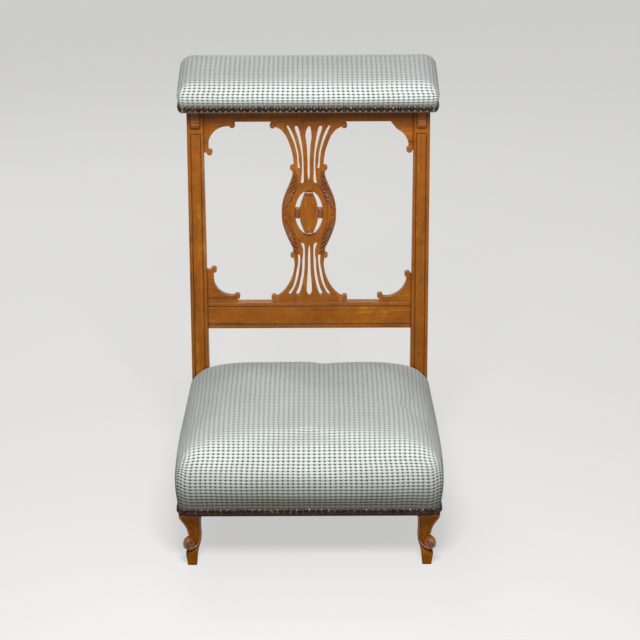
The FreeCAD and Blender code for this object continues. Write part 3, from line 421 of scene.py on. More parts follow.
uprightWood = makeWood("honeyWoodUpright", "Z", honeyLooks)
levelWood = makeWood("honeyWoodLevel", "X", honeyLooks, 0.31)
plainWoodLevel = makeWood("plainWoodLevel", "X", plainLooks, 0.77)
plainWoodDeep = makeWood("plainWoodDeep", "Y", plainLooks, 0.13)
carvedWood = makeWood("carvedWood", "Z", carvedLooks, 0.53)
legWood = makeWood("legWood", "Z", legLooks, 0.91)
wovenCover = makeWeave("wovenCover")
antiqueNail = makeNailMetal("antiqueNail")
screwSteel = makeScrewSteel("screwSteel")
juteCloth = makePlainCloth("juteCloth", 0.0022, (0.42, 0.29, 0.15), (0.16, 0.10, 0.045), 0.0005)
liningCloth = makePlainCloth("liningCloth", 0.0009, (0.028, 0.027, 0.026), (0.008, 0.008, 0.008), 0.0002)

nodeFinishes = {
    uprightWood: ("_post", "splat", "_corbel"),
    legWood: ("_front_leg",),
    levelWood: ("top_rail", "lower_back_rail", "_bracket"),
    plainWoodLevel: ("seat_front_rail", "seat_back_rail", "armrest_board"),
    plainWoodDeep: ("seat_left_rail", "seat_right_rail", "_corner_block"),
    antiqueNail: ("_nails",),
    screwSteel: ("_screws",),
}
for material, endings in nodeFinishes.items():
    for name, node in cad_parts.items():
        if name.endswith(endings):
            node.data.materials.clear()
            node.data.materials.append(material)
print("materials made")


# stuffed pads: a grid pulled down over its wood, shaped by levels, swelled as cloth, then woven
kneelerPad = {
    "columns": 46, "rows": 44,
    "front": -0.420, "back": 0.026, "frontWidth": 0.4616, "backWidth": 0.4482,
    "band": 0.118, "rise": 0.1330, "skin": 0.0007, "bulge": 0.0036, "nailTop": 0.1150,
    # painted shade by the nails: where it begins, how far up it fades, and the least share of pale left
    "lowShadeFrom": 0.1085, "lowShadeReach": 0.133, "leastUnshaded": 0.0,
    "insets": (0.136, 0.226, 0.096), "cornerPower": (2.7, 2.0),
    "cornerRadii": (0.014, 0.002), "cornerGrowth": (0.041, 0.053),
    # height and bulge, then shares of the side, front and back insets and of both corners' growth
    "levels": [
        (-0.140, 0, 0, 0, 0, 0, 0),
        (0, 0, 0, 0, 0, 0, 0), (0.165, 0.7, 0, 0, 0, 0.05, 0.15),
        (0.361, 1, 0, 0, 0, 0.12, 0.24), (0.541, 0.6, 0, 0, 0.010, 0.24, 0.38),
        (0.669, 0.2, 0.022, 0.020, 0.062, 0.34, 0.56), (0.774, 0, 0.090, 0.063, 0.158, 0.50, 0.74),
        (0.865, 0, 0.230, 0.173, 0.294, 0.68, 0.90), (0.932, 0, 0.435, 0.381, 0.460, 0.88, 1),
        (0.977, 0, 0.707, 0.669, 0.680, 1, 1.05), (0.993, 0, 0.870, 0.850, 0.860, 1, 1.05),
        (1, 0, 1, 1, 1, 1, 1.05),
    ],
    "topEdge": 5,
    "wallHeights": [0.61, 0.54, 0.46, 0.38, 0.30, 0.22, 0.15, 0.08, 0.02, -0.04, -0.09, -0.131],
    "hemHeights": [-0.131, -0.09], "ceiling": 0.1592, "nailedRows": 4,
    "pressure": 3.0, "mostSwell": 0.004, "tilt": 0.0, "reach": 0.0, "underside": 0.0, "roundPosts": True,
}
armrestPad = {
    "columns": 52, "rows": 20,
    "front": 0.0, "back": 0.1574, "frontWidth": 0.468, "backWidth": 0.468,
    "band": 0.014, "rise": 0.0420, "skin": 0.0007, "bulge": 0.0020, "nailTop": 0.0134,
    # painted shade by the nails: where it begins, how far up it fades, and the least share of pale left
    "lowShadeFrom": 0.0085, "lowShadeReach": 0.0325, "leastUnshaded": 0.12,
    "insets": (0.045, 0.045, 0.045), "cornerPower": (3.6, 4.6),
    "cornerRadii": (0.0045, 0.0045), "cornerGrowth": (0.020, 0.020),
    "levels": [
        (-0.345, 0, 0, 0, 0, 0, 0),
        (0, 0, 0, 0, 0, 0, 0), (0.22, 0.6, 0, 0, 0, 0.08, 0.08),
        (0.50, 1, 0.015, 0, 0, 0.20, 0.20), (0.72, 0.4, 0.085, 0.078, 0.056, 0.34, 0.34),
        (0.875, 0, 0.205, 0.227, 0.165, 0.55, 0.55), (0.958, 0, 0.400, 0.515, 0.410, 0.88, 0.88),
        (1, 0, 1, 1, 1, 1, 1),
    ],
    "topEdge": 4,
    "wallHeights": [0.61, 0.48, 0.34, 0.20, 0.07, -0.06, -0.19, -0.31],
    "hemHeights": [-0.31, -0.19], "ceiling": 0.0182, "nailedRows": 3,
    "pressure": 3.0, "mostSwell": 0.0015,
    "tilt": 10.0, "reach": -0.0732, "underside": 0.7414, "roundPosts": False,
}


hemSkin = 0.0001  # how far the hem, tucked up inside the frame, stands off it
stuffingSettings = {
    "quality": 6, "mass": 0.3, "tension_stiffness": 40, "compression_stiffness": 40,
    "shear_stiffness": 20, "bending_stiffness": 6, "use_pressure": True, "vertex_group_mass": "nailed",
}
stuffingSteps = 20


def smoothTable(x, xs, ys):
    # smooth curve through a table, without overshoot
    if x <= xs[0]:
        return ys[0]
    if x >= xs[-1]:
        return ys[-1]
    slopes = [(ys[i + 1] - ys[i]) / (xs[i + 1] - xs[i]) for i in range(len(xs) - 1)]
    turns = [slopes[0]]
    for before, after in zip(slopes, slopes[1:]):
        turns.append(0 if before * after <= 0 else 2 * before * after / (before + after))
    turns.append(0 if slopes[-1] * slopes[-2] <= 0 else slopes[-1])
    index = max(i for i in range(len(xs) - 1) if xs[i] <= x)
    span = xs[index + 1] - xs[index]
    t = (x - xs[index]) / span
    return (
        (2 * t ** 3 - 3 * t ** 2 + 1) * ys[index] + (t ** 3 - 2 * t ** 2 + t) * span * turns[index]
        + (3 * t ** 2 - 2 * t ** 3) * ys[index + 1] + (t ** 3 - t ** 2) * span * turns[index + 1]
    )


def easeIn(value):
    value = min(max(value, 0.0), 1.0)
    return value * value * (3 - 2 * value)


def atHeight(pad, height, column):
    return smoothTable(height, [row[0] for row in pad["levels"]], [row[column] for row in pad["levels"]])


def topProfile(pad, side):
    # distance in from one side's face, and height share, from the top edge of the wall to the crown
    rows = pad["levels"][pad["topEdge"]:]
    return [row[2 + side] * pad["insets"][side] for row in rows], [row[0] for row in rows]


def halfWidth(pad, y):
    share = (y - pad["front"]) / (pad["back"] - pad["front"])
    return (pad["frontWidth"] + (pad["backWidth"] - pad["frontWidth"]) * share) / 2


def onOutline(pad, a, b, height, skin):
    # a place on the border of the grid, carried to the pad's rounded outline at one level
    out = skin + (atHeight(pad, height, 1) * pad["bulge"] if skin == pad["skin"] else 0)
    sideIn, frontIn, backIn = (atHeight(pad, height, 2 + side) * pad["insets"][side] for side in range(3))
    atBack = b > 0
    growth = pad["cornerGrowth"][atBack] * atHeight(pad, height, 5 + atBack)
    radius = pad["cornerRadii"][atBack] + out + growth
    front = pad["front"] - out + frontIn
    back = pad["back"] + out - backIn
    y = front + (back - front) * (b + 1) / 2
    x = a * (halfWidth(pad, y) + out - sideIn)
    endY = back if atBack else front
    cornerX = halfWidth(pad, endY) + out - sideIn - radius
    cornerY = endY - radius if atBack else endY + radius
    pastY = (y - cornerY) * (1 if atBack else -1)
    if abs(x) > cornerX and pastY > 0:
        turn = math.pi / 4 * min(pastY / radius, 1)
        if abs(b) > abs(a) - 1e-6:
            turn = math.pi / 2 - math.pi / 4 * min((abs(x) - cornerX) / radius, 1)
        x = math.copysign(cornerX + radius * math.cos(turn), a)
        y = cornerY + radius * math.sin(turn) * (1 if atBack else -1)
    return x, y


def insetsFrom(pad, x, y):
    skin = pad["skin"]
    return halfWidth(pad, y) + skin - abs(x), y - pad["front"] + skin, pad["back"] + skin - y


def onTop(pad, a, b):
    ring = max(abs(a), abs(b), 1e-6)
    middle = (pad["front"] + pad["back"]) / 2
    edgeHeight = pad["levels"][pad["topEdge"]][0]
    x, y = onOutline(pad, a / ring, b / ring, edgeHeight, pad["skin"])
    x, y = x * ring, middle + (y - middle) * ring
    toBack = easeIn((y - pad["front"]) / (pad["back"] - pad["front"]))
    power = pad["cornerPower"][0] + (pad["cornerPower"][1] - pad["cornerPower"][0]) * toBack
    lack = 0.0
    for side, inset in enumerate(insetsFrom(pad, x, y)):
        lack += (1 - smoothTable(inset, *topProfile(pad, side))) ** power
    return Vector((x, y, pad["band"] + (1 - lack ** (1 / power)) * pad["rise"]))


def clothLengths(pad, side):
    # cloth length over the crown for each distance in from one side
    insets, heights = topProfile(pad, side)
    steps = 60
    runs = [insets[-1] * step / steps for step in range(steps + 1)]
    levels = [smoothTable(run, insets, heights) * pad["rise"] for run in runs]
    lengths = [0.0]
    for step in range(steps):
        rise = levels[step + 1] - levels[step]
        lengths.append(lengths[-1] + math.hypot(runs[step + 1] - runs[step], rise))
    return runs, lengths


def lengthAt(table, inset):
    runs, lengths = table
    return float(np.interp(inset, runs, lengths)) + max(inset - runs[-1], 0.0)


def settleOrder(piece):
    # edges and faces in one fixed order, so that the cloth settles alike each time the script runs
    mesh = piece.data
    points = [point.co.copy() for point in mesh.vertices]
    edges = sorted(tuple(sorted(edge.vertices)) for edge in mesh.edges)
    faces = []
    for face in mesh.polygons:
        corners = list(face.vertices)
        first = corners.index(min(corners))
        faces.append(corners[first:] + corners[:first])
    mesh.clear_geometry()
    mesh.from_pydata(points, edges, sorted(faces))


def buildPad(pad):
    deselectAll()
    bpy.ops.mesh.primitive_grid_add(x_subdivisions=pad["columns"], y_subdivisions=pad["rows"], size=2)
    piece = bpy.context.object
    walls = [(height, pad["skin"]) for height in pad["wallHeights"]]
    walls += [(height, hemSkin) for height in pad["hemHeights"]]
    walls.append(((pad["ceiling"] - pad["band"]) / pad["rise"], hemSkin))
    setMode("EDIT")
    bpy.ops.mesh.select_all(action="SELECT")
    bpy.ops.mesh.region_to_loop()
    for _ in walls:
        bpy.ops.mesh.extrude_edges_move(TRANSFORM_OT_translate={"value": (0, 0, -1)})
    bpy.ops.mesh.edge_face_add()
    setMode("OBJECT")
    grid = [(point.co.x, point.co.y, round(-point.co.z)) for point in piece.data.vertices]
    for point, (a, b, depth) in zip(piece.data.vertices, grid):
        if depth == 0:
            point.co = onTop(pad, a, b)
        else:
            height, skin = walls[depth - 1]
            level = min(height, pad["wallHeights"][0]) if skin == pad["skin"] else 0.0
            x, y = onOutline(pad, a, b, level, skin)
            point.co = (x, y, pad["band"] + height * pad["rise"])
    turnOutward(piece)
    settleOrder(piece)
    layCloth(piece, pad, grid)
    pins = piece.vertex_groups.new(name="nailed")
    nailedFrom = len(pad["wallHeights"]) - pad["nailedRows"]
    pins.add([index for index, (a, b, depth) in enumerate(grid) if depth > nailedFrom], 1.0, "REPLACE")
    return piece


def layCloth(piece, pad, grid):
    # flat cloth coordinates: over the top as it lies, and round the front as the rows run
    points = [point.co.copy() for point in piece.data.vertices]
    tables = [clothLengths(pad, side) for side in range(3)]
    middle = (pad["front"] + pad["back"]) / 2
    edgeHeight = pad["levels"][pad["topEdge"]][0]
    halfFront = lengthAt(tables[1], middle - pad["front"])
    halfBack = lengthAt(tables[2], pad["back"] - middle)
    radius = pad["cornerRadii"][0] + pad["skin"] + pad["cornerGrowth"][0] * atHeight(pad, edgeHeight, 5)
    cornerY = pad["front"] - pad["skin"] + radius
    straight = halfWidth(pad, cornerY) + pad["skin"] - radius
    columnTops, drops = {}, {}
    for index, (a, b, depth) in enumerate(grid):
        if max(abs(a), abs(b)) > 0.9999:
            columnTops.setdefault((round(a, 4), round(b, 4)), {})[depth] = index
    for column in columnTops.values():
        drops[column[0]] = 0.0
        for depth in range(1, len(column)):
            above, here = column[depth - 1], column[depth]
            drops[here] = drops[above] + (points[here] - points[above]).length

    def flatTop(x, y):
        side, front, back = insetsFrom(pad, x, y)
        u = lengthAt(tables[0], halfWidth(pad, y)) - lengthAt(tables[0], side)
        v = lengthAt(tables[1], front) - halfFront if y < middle else halfBack - lengthAt(tables[2], back)
        return math.copysign(u, x), v

    layer = piece.data.uv_layers.new(name="cloth")
    for face in piece.data.polygons:
        labels = [grid[index] for index in face.vertices]
        isWall = max(label[2] for label in labels) > 0
        tops = [columnTops[(round(a, 4), round(b, 4))][0] if isWall else 0 for a, b, depth in labels]
        isFront = isWall and any(
            points[top].y < cornerY or label[1] < -0.9999 for top, label in zip(tops, labels)
        )
        isBack = isWall and all(label[1] > 0.9999 for label in labels)
        for loop in face.loop_indices:
            index = piece.data.loops[loop].vertex_index
            a, b, depth = grid[index]
            start = points[columnTops[(round(a, 4), round(b, 4))][0]] if isWall else points[index]
            u, v = flatTop(start.x, start.y)
            if isWall:
                drop = drops[index]
                if isFront:
                    mixed = easeIn(drop / weave["turnDrop"])
                    around = abs(u)
                    if abs(start.x) > straight and start.y < cornerY:
                        turn = math.atan2(abs(start.x) - straight, cornerY - start.y)
                        around = straight + radius * turn
                    u = math.copysign(abs(u) + (around - abs(u)) * mixed, start.x)
                    v += (-halfFront - v) * mixed - drop
                elif isBack:
                    v += drop
                else:
                    u = math.copysign(abs(u) + drop, start.x)
            sway = noise.noise_vector(points[index] * weave["swayScale"]) * weave["sway"]
            layer.data[loop].uv = (u + sway.x, v + sway.y)


def stuffPad(piece, pad):
    # the cloth swells between its nails; how far each point may move is held
    start = [point.co.copy() for point in piece.data.vertices]
    pickOnly(piece)
    stuffing = piece.modifiers.new("Stuffing", "CLOTH")
    for key, value in stuffingSettings.items():
        setattr(stuffing.settings, key, value)
    stuffing.settings.uniform_pressure_force = pad["pressure"]
    stuffing.settings.effector_weights.gravity = 0
    stuffing.collision_settings.use_collision = False
    for step in range(1, stuffingSteps + 1):
        bpy.context.scene.frame_set(step)
    bpy.ops.object.modifier_apply(modifier=stuffing.name)
    bpy.context.scene.frame_set(1)
    most = 0.0
    for point, was in zip(piece.data.vertices, start):
        moved = point.co - was
        most = max(most, moved.length)
        if moved.length > pad["mostSwell"]:
            moved *= pad["mostSwell"] / moved.length
        point.co = was + moved
    print("cloth swelled by up to", round(most * 1000, 1), "mm before the cap")


def refineCloth(piece):
    # the flat underside stays out of the subdivision and is filled in again after it
    deleteFaces(piece, lambda face: face.loop_total > 4, "ONLY_FACE")
    applyModifier(piece, "SUBSURF", levels=3, render_levels=3)


def closeUnderside(piece):
    pickOnly(piece)
    setMode("EDIT")
    bpy.ops.mesh.select_mode(type="EDGE")
    bpy.ops.mesh.select_all(action="DESELECT")
    bpy.ops.mesh.select_non_manifold(
        extend=False, use_wire=False, use_multi_face=False, use_non_contiguous=False,
    )
    bpy.ops.mesh.edge_face_add()
    bpy.ops.mesh.select_mode(type="VERT")
    setMode("OBJECT")
    turnOutward(piece)


def weaveRelief(piece, pad):
    # lifts the pillows and presses rows and holes in, fading out where the nails hold the cloth flat
    mesh = piece.data
    count = len(mesh.vertices)

    def readOut(items, key, width, kind=np.float64):
        values = np.empty(len(items) * width, dtype=kind)
        items.foreach_get(key, values)
        return values.reshape(-1, width)

    cloth = np.zeros((count, 2))
    loopPoints = readOut(mesh.loops, "vertex_index", 1, np.int32)[:, 0]
    cloth[loopPoints] = readOut(mesh.uv_layers["cloth"].data, "uv", 2)
    normals, points = readOut(mesh.vertices, "normal", 3), readOut(mesh.vertices, "co", 3)
    outward = points[:, :2] - np.array([0.0, (pad["front"] + pad["back"]) / 2])
    outward /= np.maximum(np.linalg.norm(outward, axis=1), 1e-6)[:, None]
    facing = np.maximum(normals[:, 2], (normals[:, :2] * outward).sum(axis=1))
    free = np.clip((points[:, 2] - pad["nailTop"]) / weave["pressedBelow"], 0, 1)
    free = free * free * (3 - 2 * free) * np.clip(facing * 4, 0, 1)
    upWall = np.clip((points[:, 2] - pad["nailTop"]) / pad["rise"], 0, 1)
    # how far a point is free of the painted shade that darkens the cloth towards the nails
    unshaded = np.clip((points[:, 2] - pad["lowShadeFrom"]) / pad["lowShadeReach"], pad["leastUnshaded"], 1)
    onTop = 1 - np.clip((-normals[:, 1] - weave["topFrom"]) / (weave["topFull"] - weave["topFrom"]), 0, 1)
    onTop *= np.clip(normals[:, 2] * 2, 0, 1)
    onTop *= onTop * (3 - 2 * onTop)
    low = np.clip(1 - upWall / weave["lowWall"], 0, 1)
    pitches = np.array([weave["ribPitch"], weave["rowPitch"]])
    turns = cloth / pitches
    nearest = (turns - np.round(turns)) * pitches
    inPillow = turns[:, 0] - np.floor(turns[:, 0]) - 0.5
    turns[:, 1] += inPillow * weave["rowSlant"] * weave["ribPitch"] / weave["rowPitch"]
    dips = (1 - np.abs(np.sin(turns * math.pi))) ** weave["dipPower"]
    slant = math.radians(weave["holeSlant"])
    along = nearest[:, 0] * math.cos(slant) - nearest[:, 1] * math.sin(slant)
    across = nearest[:, 0] * math.sin(slant) + nearest[:, 1] * math.cos(slant)
    holes = np.exp(-((along / weave["holeLength"]) ** 2 + (across / weave["holeWidth"]) ** 2))
    depth = dips[:, 0] * weave["ribDip"] + dips[:, 1] * weave["rowDip"] * (1 + weave["lowRows"] * low)
    depth += holes * weave["holeDip"] * (1 - weave["lowHoles"] * low)
    depth *= 1 - weave["topContrast"] * onTop
    shaped = points + normals * ((weave["lift"] - depth) * free)[:, None]
    mesh.vertices.foreach_set("co", shaped.ravel())
    for name, values in (("upWall", upWall), ("unshaded", unshaded), ("onTop", onTop)):
        mesh.attributes.new(name, "FLOAT", "POINT").data.foreach_set("value", values)
    mesh.update()


posts = {"innerAtFoot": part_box("right_back_post")[0].x, "taper": 0.006, "clearance": 0.0004}


def fitRoundPosts(piece):
    # whatever would lie inside a post is drawn back to the post's faces
    for point in piece.data.vertices:
        inner = posts["innerAtFoot"] + posts["taper"] * point.co.z - posts["clearance"]
        inside = min(abs(point.co.x) - inner, point.co.y + posts["clearance"])
        if inside > 0:
            point.co.x -= math.copysign(inside, point.co.x)
            point.co.y -= inside


def makePad(pad, name):
    piece = buildPad(pad)
    stuffPad(piece, pad)
    refineCloth(piece)
    weaveRelief(piece, pad)
    if pad["roundPosts"]:
        fitRoundPosts(piece)
    closeUnderside(piece)
    piece.data.transform(
        Matrix.Translation((0, postFront + pad["reach"], pad["underside"]))
        @ Matrix.Rotation(math.radians(pad["tilt"]), 4, "X")
    )
    keepPiece(piece, name, wovenCover, 75)
    print(name, "made:", len(piece.data.polygons), "faces")
    return piece


seat = makePad(kneelerPad, "kneelerPad")
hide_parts("seat_cover", "seat_stuffing", "seat_edge_wadding", "seat_hessian")
arm = makePad(armrestPad, "armrestPad")
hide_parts("armrest_cover", "armrest_stuffing")


# jute webbing under the stuffing: strips front to back, with side-to-side strips laid over them
webbing = {
    "width": 0.050, "thickness": 0.0018, "count": 3, "longPitch": 0.105, "crossPitch": 0.112,
    "sag": 0.0006, "crossMargin": 0.003, "stepsAlong": 40, "stepsAcross": 4,
}


def makeStrip(low, high, axis):
    deselectAll()
    steps = [webbing["stepsAcross"], webbing["stepsAcross"]]
    steps[axis] = webbing["stepsAlong"]
    bpy.ops.mesh.primitive_grid_add(x_subdivisions=steps[0], y_subdivisions=steps[1], size=2)
    strip = bpy.context.object
    for point in strip.data.vertices:
        along = point.co[axis]
        point.co.x = low[0] + (high[0] - low[0]) * (point.co.x + 1) / 2
        point.co.y = low[1] + (high[1] - low[1]) * (point.co.y + 1) / 2
        point.co.z = low[2] - webbing["sag"] * (1 - along * along)
    applyModifier(strip, "SOLIDIFY", thickness=webbing["thickness"], offset=1)
    return strip


longLow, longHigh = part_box("seat_long_webbing")
crossLow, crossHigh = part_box("seat_cross_webbing")
strips = []
for index in range(webbing["count"]):
    left = longLow.x + index * webbing["longPitch"]
    strips.append(makeStrip((left, longLow.y, longLow.z), (left + webbing["width"], longHigh.y), 1))
    near, margin = crossLow.y + index * webbing["crossPitch"], webbing["crossMargin"]
    strips.append(makeStrip(
        (crossLow.x + margin, near, longHigh.z), (crossHigh.x - margin, near + webbing["width"]), 0,
    ))
strap = joinPieces(strips)
turnOutward(strap)
keepPiece(strap, "seatWebbing", juteCloth, 40)
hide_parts("seat_long_webbing", "seat_cross_webbing")
print("webbing made")

# thin black lining tacked under the kneeler, cut out round the legs and posts
lining = {
    "legCutout": 0.0405, "postCutoutDepth": 0.0205, "postCutoutWidth": 0.0345,
    "sag": 0.0012, "thickness": 0.0004, "cells": 40, "wrinkle": 0.4, "wrinkleScale": 22,
}


def cellInset(edge, step, cut, half):
    # the outermost row of cells spans the cutout, the others share what is left
    return edge / step * cut if edge < step else cut + (edge - step) / (1 - step) * (half - cut)


def makeLining():
    low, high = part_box("seat_dust_cover")
    deselectAll()
    cells = lining["cells"]
    bpy.ops.mesh.primitive_grid_add(x_subdivisions=cells, y_subdivisions=cells, size=2)
    sheet = bpy.context.object
    step = 2 / cells
    for point in sheet.data.vertices:
        a, b = point.co.x, point.co.y
        cutX = lining["legCutout"] if b < 0 else lining["postCutoutWidth"]
        cutY = lining["legCutout"] if b < 0 else lining["postCutoutDepth"]
        x = math.copysign(high.x - cellInset(1 - abs(a), step, cutX, high.x), a)
        insetY = cellInset(1 - abs(b), step, cutY, (high.y - low.y) / 2)
        y = low.y + insetY if b < 0 else high.y - insetY
        spot = Vector((x * lining["wrinkleScale"], y * lining["wrinkleScale"], 3.0))
        drop = lining["sag"] * (1 - a * a) * (1 - b * b) * (1 + noise.noise(spot) * lining["wrinkle"])
        point.co = (x, y, low.z - drop)

    def inCutout(face):
        nearLeg = face.center.y < low.y + lining["legCutout"]
        nearPost = face.center.y > high.y - lining["postCutoutDepth"]
        cut = lining["legCutout"] if nearLeg else lining["postCutoutWidth"]
        return (nearLeg or nearPost) and abs(face.center.x) > high.x - cut

    deleteFaces(sheet, inCutout, "FACE")
    applyModifier(sheet, "SOLIDIFY", thickness=lining["thickness"], offset=0)
    turnOutward(sheet)
    keepPiece(sheet, "underLining", liningCloth, 40)
    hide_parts("seat_dust_cover")


makeLining()
print("lining made")


# carving on the splat: a leaf of rope-like strands in each quarter, two drops and four tabs
carving = {
    "face": 0.0090, "middle": 0.5270,
    # outer edge of the splat, from the curl to the widest place: height above the middle, half width
    "edge": [
        (0.086, 0.0318), (0.078, 0.0302), (0.070, 0.0312), (0.060, 0.0345), (0.050, 0.0385),
        (0.040, 0.0428), (0.030, 0.0465), (0.020, 0.0491), (0.010, 0.0505), (0.007, 0.0507),
    ],
    # strands start inside the edge, by (run along the edge, distance in), and sweep out to it
    "starts": [
        (0.0, 0.0074), (0.012, 0.0112), (0.030, 0.0136), (0.055, 0.0128), (0.070, 0.0082),
        (0.080, 0.0056),
    ],
    "firstRun": 0.002, "step": 0.0072, "stepGrowth": 0.0005, "lastRun": 0.009,
    "outerInset": 0.0018, "runPerInset": 1.85, "sweep": 1.3, "strandProud": 0.0008,
    # a strand's thickness grows over the first runs, and short strands are thinner
    "radii": (0.0018, 0.0027), "growthRun": 0.035, "fullLength": 0.016,
    "strandSizes": (0.30, 0.80, 1.00, 0.95, 0.75, 0.30),
    "drop": (0.0450, 0.0015), "dropSize": (0.0030, 0.0030, 0.0038),
    "sideTab": (0.0214, 0.0015), "sideTabSize": (0.0045, 0.0036, 0.0088),
    "endTabReach": 0.0395, "endTabSize": (0.0076, 0.0036, 0.0042), "tabProud": 0.0004, "tabRound": 0.0012,
}


def makeOval(size):
    # a carved bead, with its round side to the front
    deselectAll()
    bpy.ops.mesh.primitive_uv_sphere_add(segments=16, ring_count=10, radius=1)
    oval = bpy.context.object
    resizeMesh(oval, size)
    return oval


def makeBarrel(size, lying):
    # a short rounded bar with soft ends, standing or lying
    deselectAll()
    bpy.ops.mesh.primitive_cylinder_add(vertices=24, radius=1, depth=2)
    barrel = bpy.context.object
    if lying:
        barrel.data.transform(Matrix.Rotation(math.pi / 2, 4, "Y"))
    resizeMesh(barrel, size)
    applyModifier(barrel, "BEVEL", width=carving["tabRound"], segments=3, limit_method="ANGLE")
    return barrel


def makeRidge(points, radius, sizes=None):
    # a raised carved line through a few places, round in section and closed at its ends
    line = bpy.data.curves.new("ridge", "CURVE")
    line.dimensions = "3D"
    line.bevel_depth = radius
    line.bevel_resolution = 3
    line.use_fill_caps = True
    spline = line.splines.new("NURBS")
    spline.points.add(len(points) - 1)
    for point, place, size in zip(spline.points, points, sizes or [1.0] * len(points)):
        point.co = (*place, 1)
        point.radius = size
    spline.order_u = 3
    spline.use_endpoint_u = True
    spline.resolution_u = 6
    ridge = bpy.data.objects.new("ridge", line)
    bpy.context.collection.objects.link(ridge)
    pickOnly(ridge)
    bpy.ops.object.convert(target="MESH")
    return bpy.context.object


def onSplat(piece, x, above, lift=0.0):
    place = (x, postFront + carving["face"] - lift, carving["middle"] + above)
    piece.data.transform(Matrix.Translation(place))
    return piece


def carvedLeaf():
    heights = [row[0] for row in carving["edge"]]
    halves = [row[1] for row in carving["edge"]]
    ends = np.cumsum([0.0, *np.hypot(np.diff(heights), np.diff(halves))])

    def edgeAt(run):
        return Vector((np.interp(run, ends, halves), np.interp(run, ends, heights)))

    def inFrom(run, inset):
        along = (edgeAt(run + 0.003) - edgeAt(run - 0.003)).normalized()
        return edgeAt(run) + Vector((along.y, -along.x)) * inset

    strands = []
    run, step = carving["firstRun"], carving["step"]
    count = len(carving["strandSizes"])
    while run < ends[-1] - carving["lastRun"]:
        start = float(np.interp(run, *zip(*carving["starts"])))
        length = min(start * carving["runPerInset"], ends[-1] - run)
        places = []
        for index in range(count):
            share = index / (count - 1)
            sweep = (start - carving["outerInset"]) * (1 - share) ** carving["sweep"]
            spot = inFrom(run + length * share, carving["outerInset"] + sweep)
            places.append((spot.x, 0, spot.y))
        slim, full = carving["radii"]
        radius = slim + (full - slim) * easeIn(run / carving["growthRun"])
        radius *= min(length / carving["fullLength"], 1)
        strands.append(makeRidge(places, radius, carving["strandSizes"]))
        run, step = run + step, step + carving["stepGrowth"]
    return joinPieces(strands)


leaf = carvedLeaf()
carved = [
    onSplat(placedCopy(leaf, Matrix.Diagonal((sideways, 1, upward, 1))), 0, 0, carving["strandProud"])
    for sideways in (1, -1) for upward in (1, -1)
]
bpy.data.objects.remove(leaf)
tabX, tabAbove = carving["sideTab"]
dropX, dropAbove = carving["drop"]
proud = carving["tabProud"]
for sideways in (1, -1):
    carved.append(onSplat(makeOval(carving["dropSize"]), sideways * dropX, dropAbove))
    carved.append(onSplat(makeBarrel(carving["sideTabSize"], False), sideways * tabX, tabAbove, proud))
    endTab = makeBarrel(carving["endTabSize"], True)
    carved.append(onSplat(endTab, 0, tabAbove + sideways * carving["endTabReach"], proud))
splatCarving = joinPieces(carved)
turnOutward(splatCarving)
keepPiece(splatCarving, "splatCarving", carvedWood, 60)
print("splat carving made:", len(splatCarving.data.polygons), "faces")


# carving on the front legs: raised edges, of which the inner one curls under a spiral volute
legCarving = {
    "corner": (0.2308, -0.420), "block": 0.040, "height": 0.100, "ridge": 0.0019, "edgeIn": 0.0014,
    # height, outer face and inner face, as shares of the leg's height and block
    "levels": [
        (0.985, 0.035, 0.985), (0.93, 0.09, 0.980), (0.86, 0.19, 0.965), (0.78, 0.29, 0.955),
        (0.70, 0.365, 0.950), (0.61, 0.41, 0.955), (0.52, 0.45, 0.965), (0.46, 0.465, 0.940),
    ],
    "sideEnd": [(0.38, 0.440, 0.905), (0.32, 0.375, 0.870)], "outerUntil": 0.50,
    "volute": (0.2113, -0.4122, 0.0426), "voluteTurn": 24.0, "voluteRadius": 0.0100,
    "voluteThickness": 0.0085, "voluteRound": 0.0014, "bossRadius": 0.0028, "bossFlatness": 0.8,
    # the inner edge's way from the leg to the volute, from the volute's centre
    "curl": [(-0.0153, 0.0092, 0.0004), (-0.0118, 0.0062, -0.0052)],
    "spiralStart": -120.0, "spiralTurns": 1.75, "spiralEnd": 0.0040, "spiralSteps": 34,
    "rimInset": 0.0006, "spiralProud": 0.0002, "spiralRidge": 0.9, "spiralThinning": 0.38,
}


def frontVolute():
    # the right leg's volute: a disc with a boss and a spiral, turned a little towards the middle
    turn = math.radians(legCarving["voluteTurn"])
    across = Vector((math.cos(turn), -math.sin(turn), 0))
    forward = Vector((-math.sin(turn), -math.cos(turn), 0))
    radius, thickness = legCarving["voluteRadius"], legCarving["voluteThickness"]
    deselectAll()
    bpy.ops.mesh.primitive_cylinder_add(vertices=40, radius=radius, depth=thickness)
    disc = bpy.context.object
    disc.data.transform(Matrix.Translation((0, 0, -thickness / 2)))
    applyModifier(disc, "BEVEL", width=legCarving["voluteRound"], segments=3, limit_method="ANGLE")
    bossRadius = legCarving["bossRadius"]
    boss = makeOval((bossRadius, bossRadius, bossRadius * legCarving["bossFlatness"]))
    spiral, sizes = [], []
    steps, rim = legCarving["spiralSteps"], radius - legCarving["rimInset"]
    for step in range(steps + 1):
        share = step / steps
        angle = math.radians(legCarving["spiralStart"] + 360 * legCarving["spiralTurns"] * share)
        reach = rim + (legCarving["spiralEnd"] - rim) * share
        spiral.append((reach * math.cos(angle), reach * math.sin(angle), legCarving["spiralProud"]))
        sizes.append(1 - legCarving["spiralThinning"] * share)
    ridge = makeRidge(spiral, legCarving["ridge"] * legCarving["spiralRidge"], sizes)
    volute = joinPieces([disc, boss, ridge])
    place = Matrix((across, (0, 0, 1), forward)).transposed().to_4x4()
    place.translation = legCarving["volute"]
    volute.data.transform(place)
    return volute, place @ Vector(spiral[0])


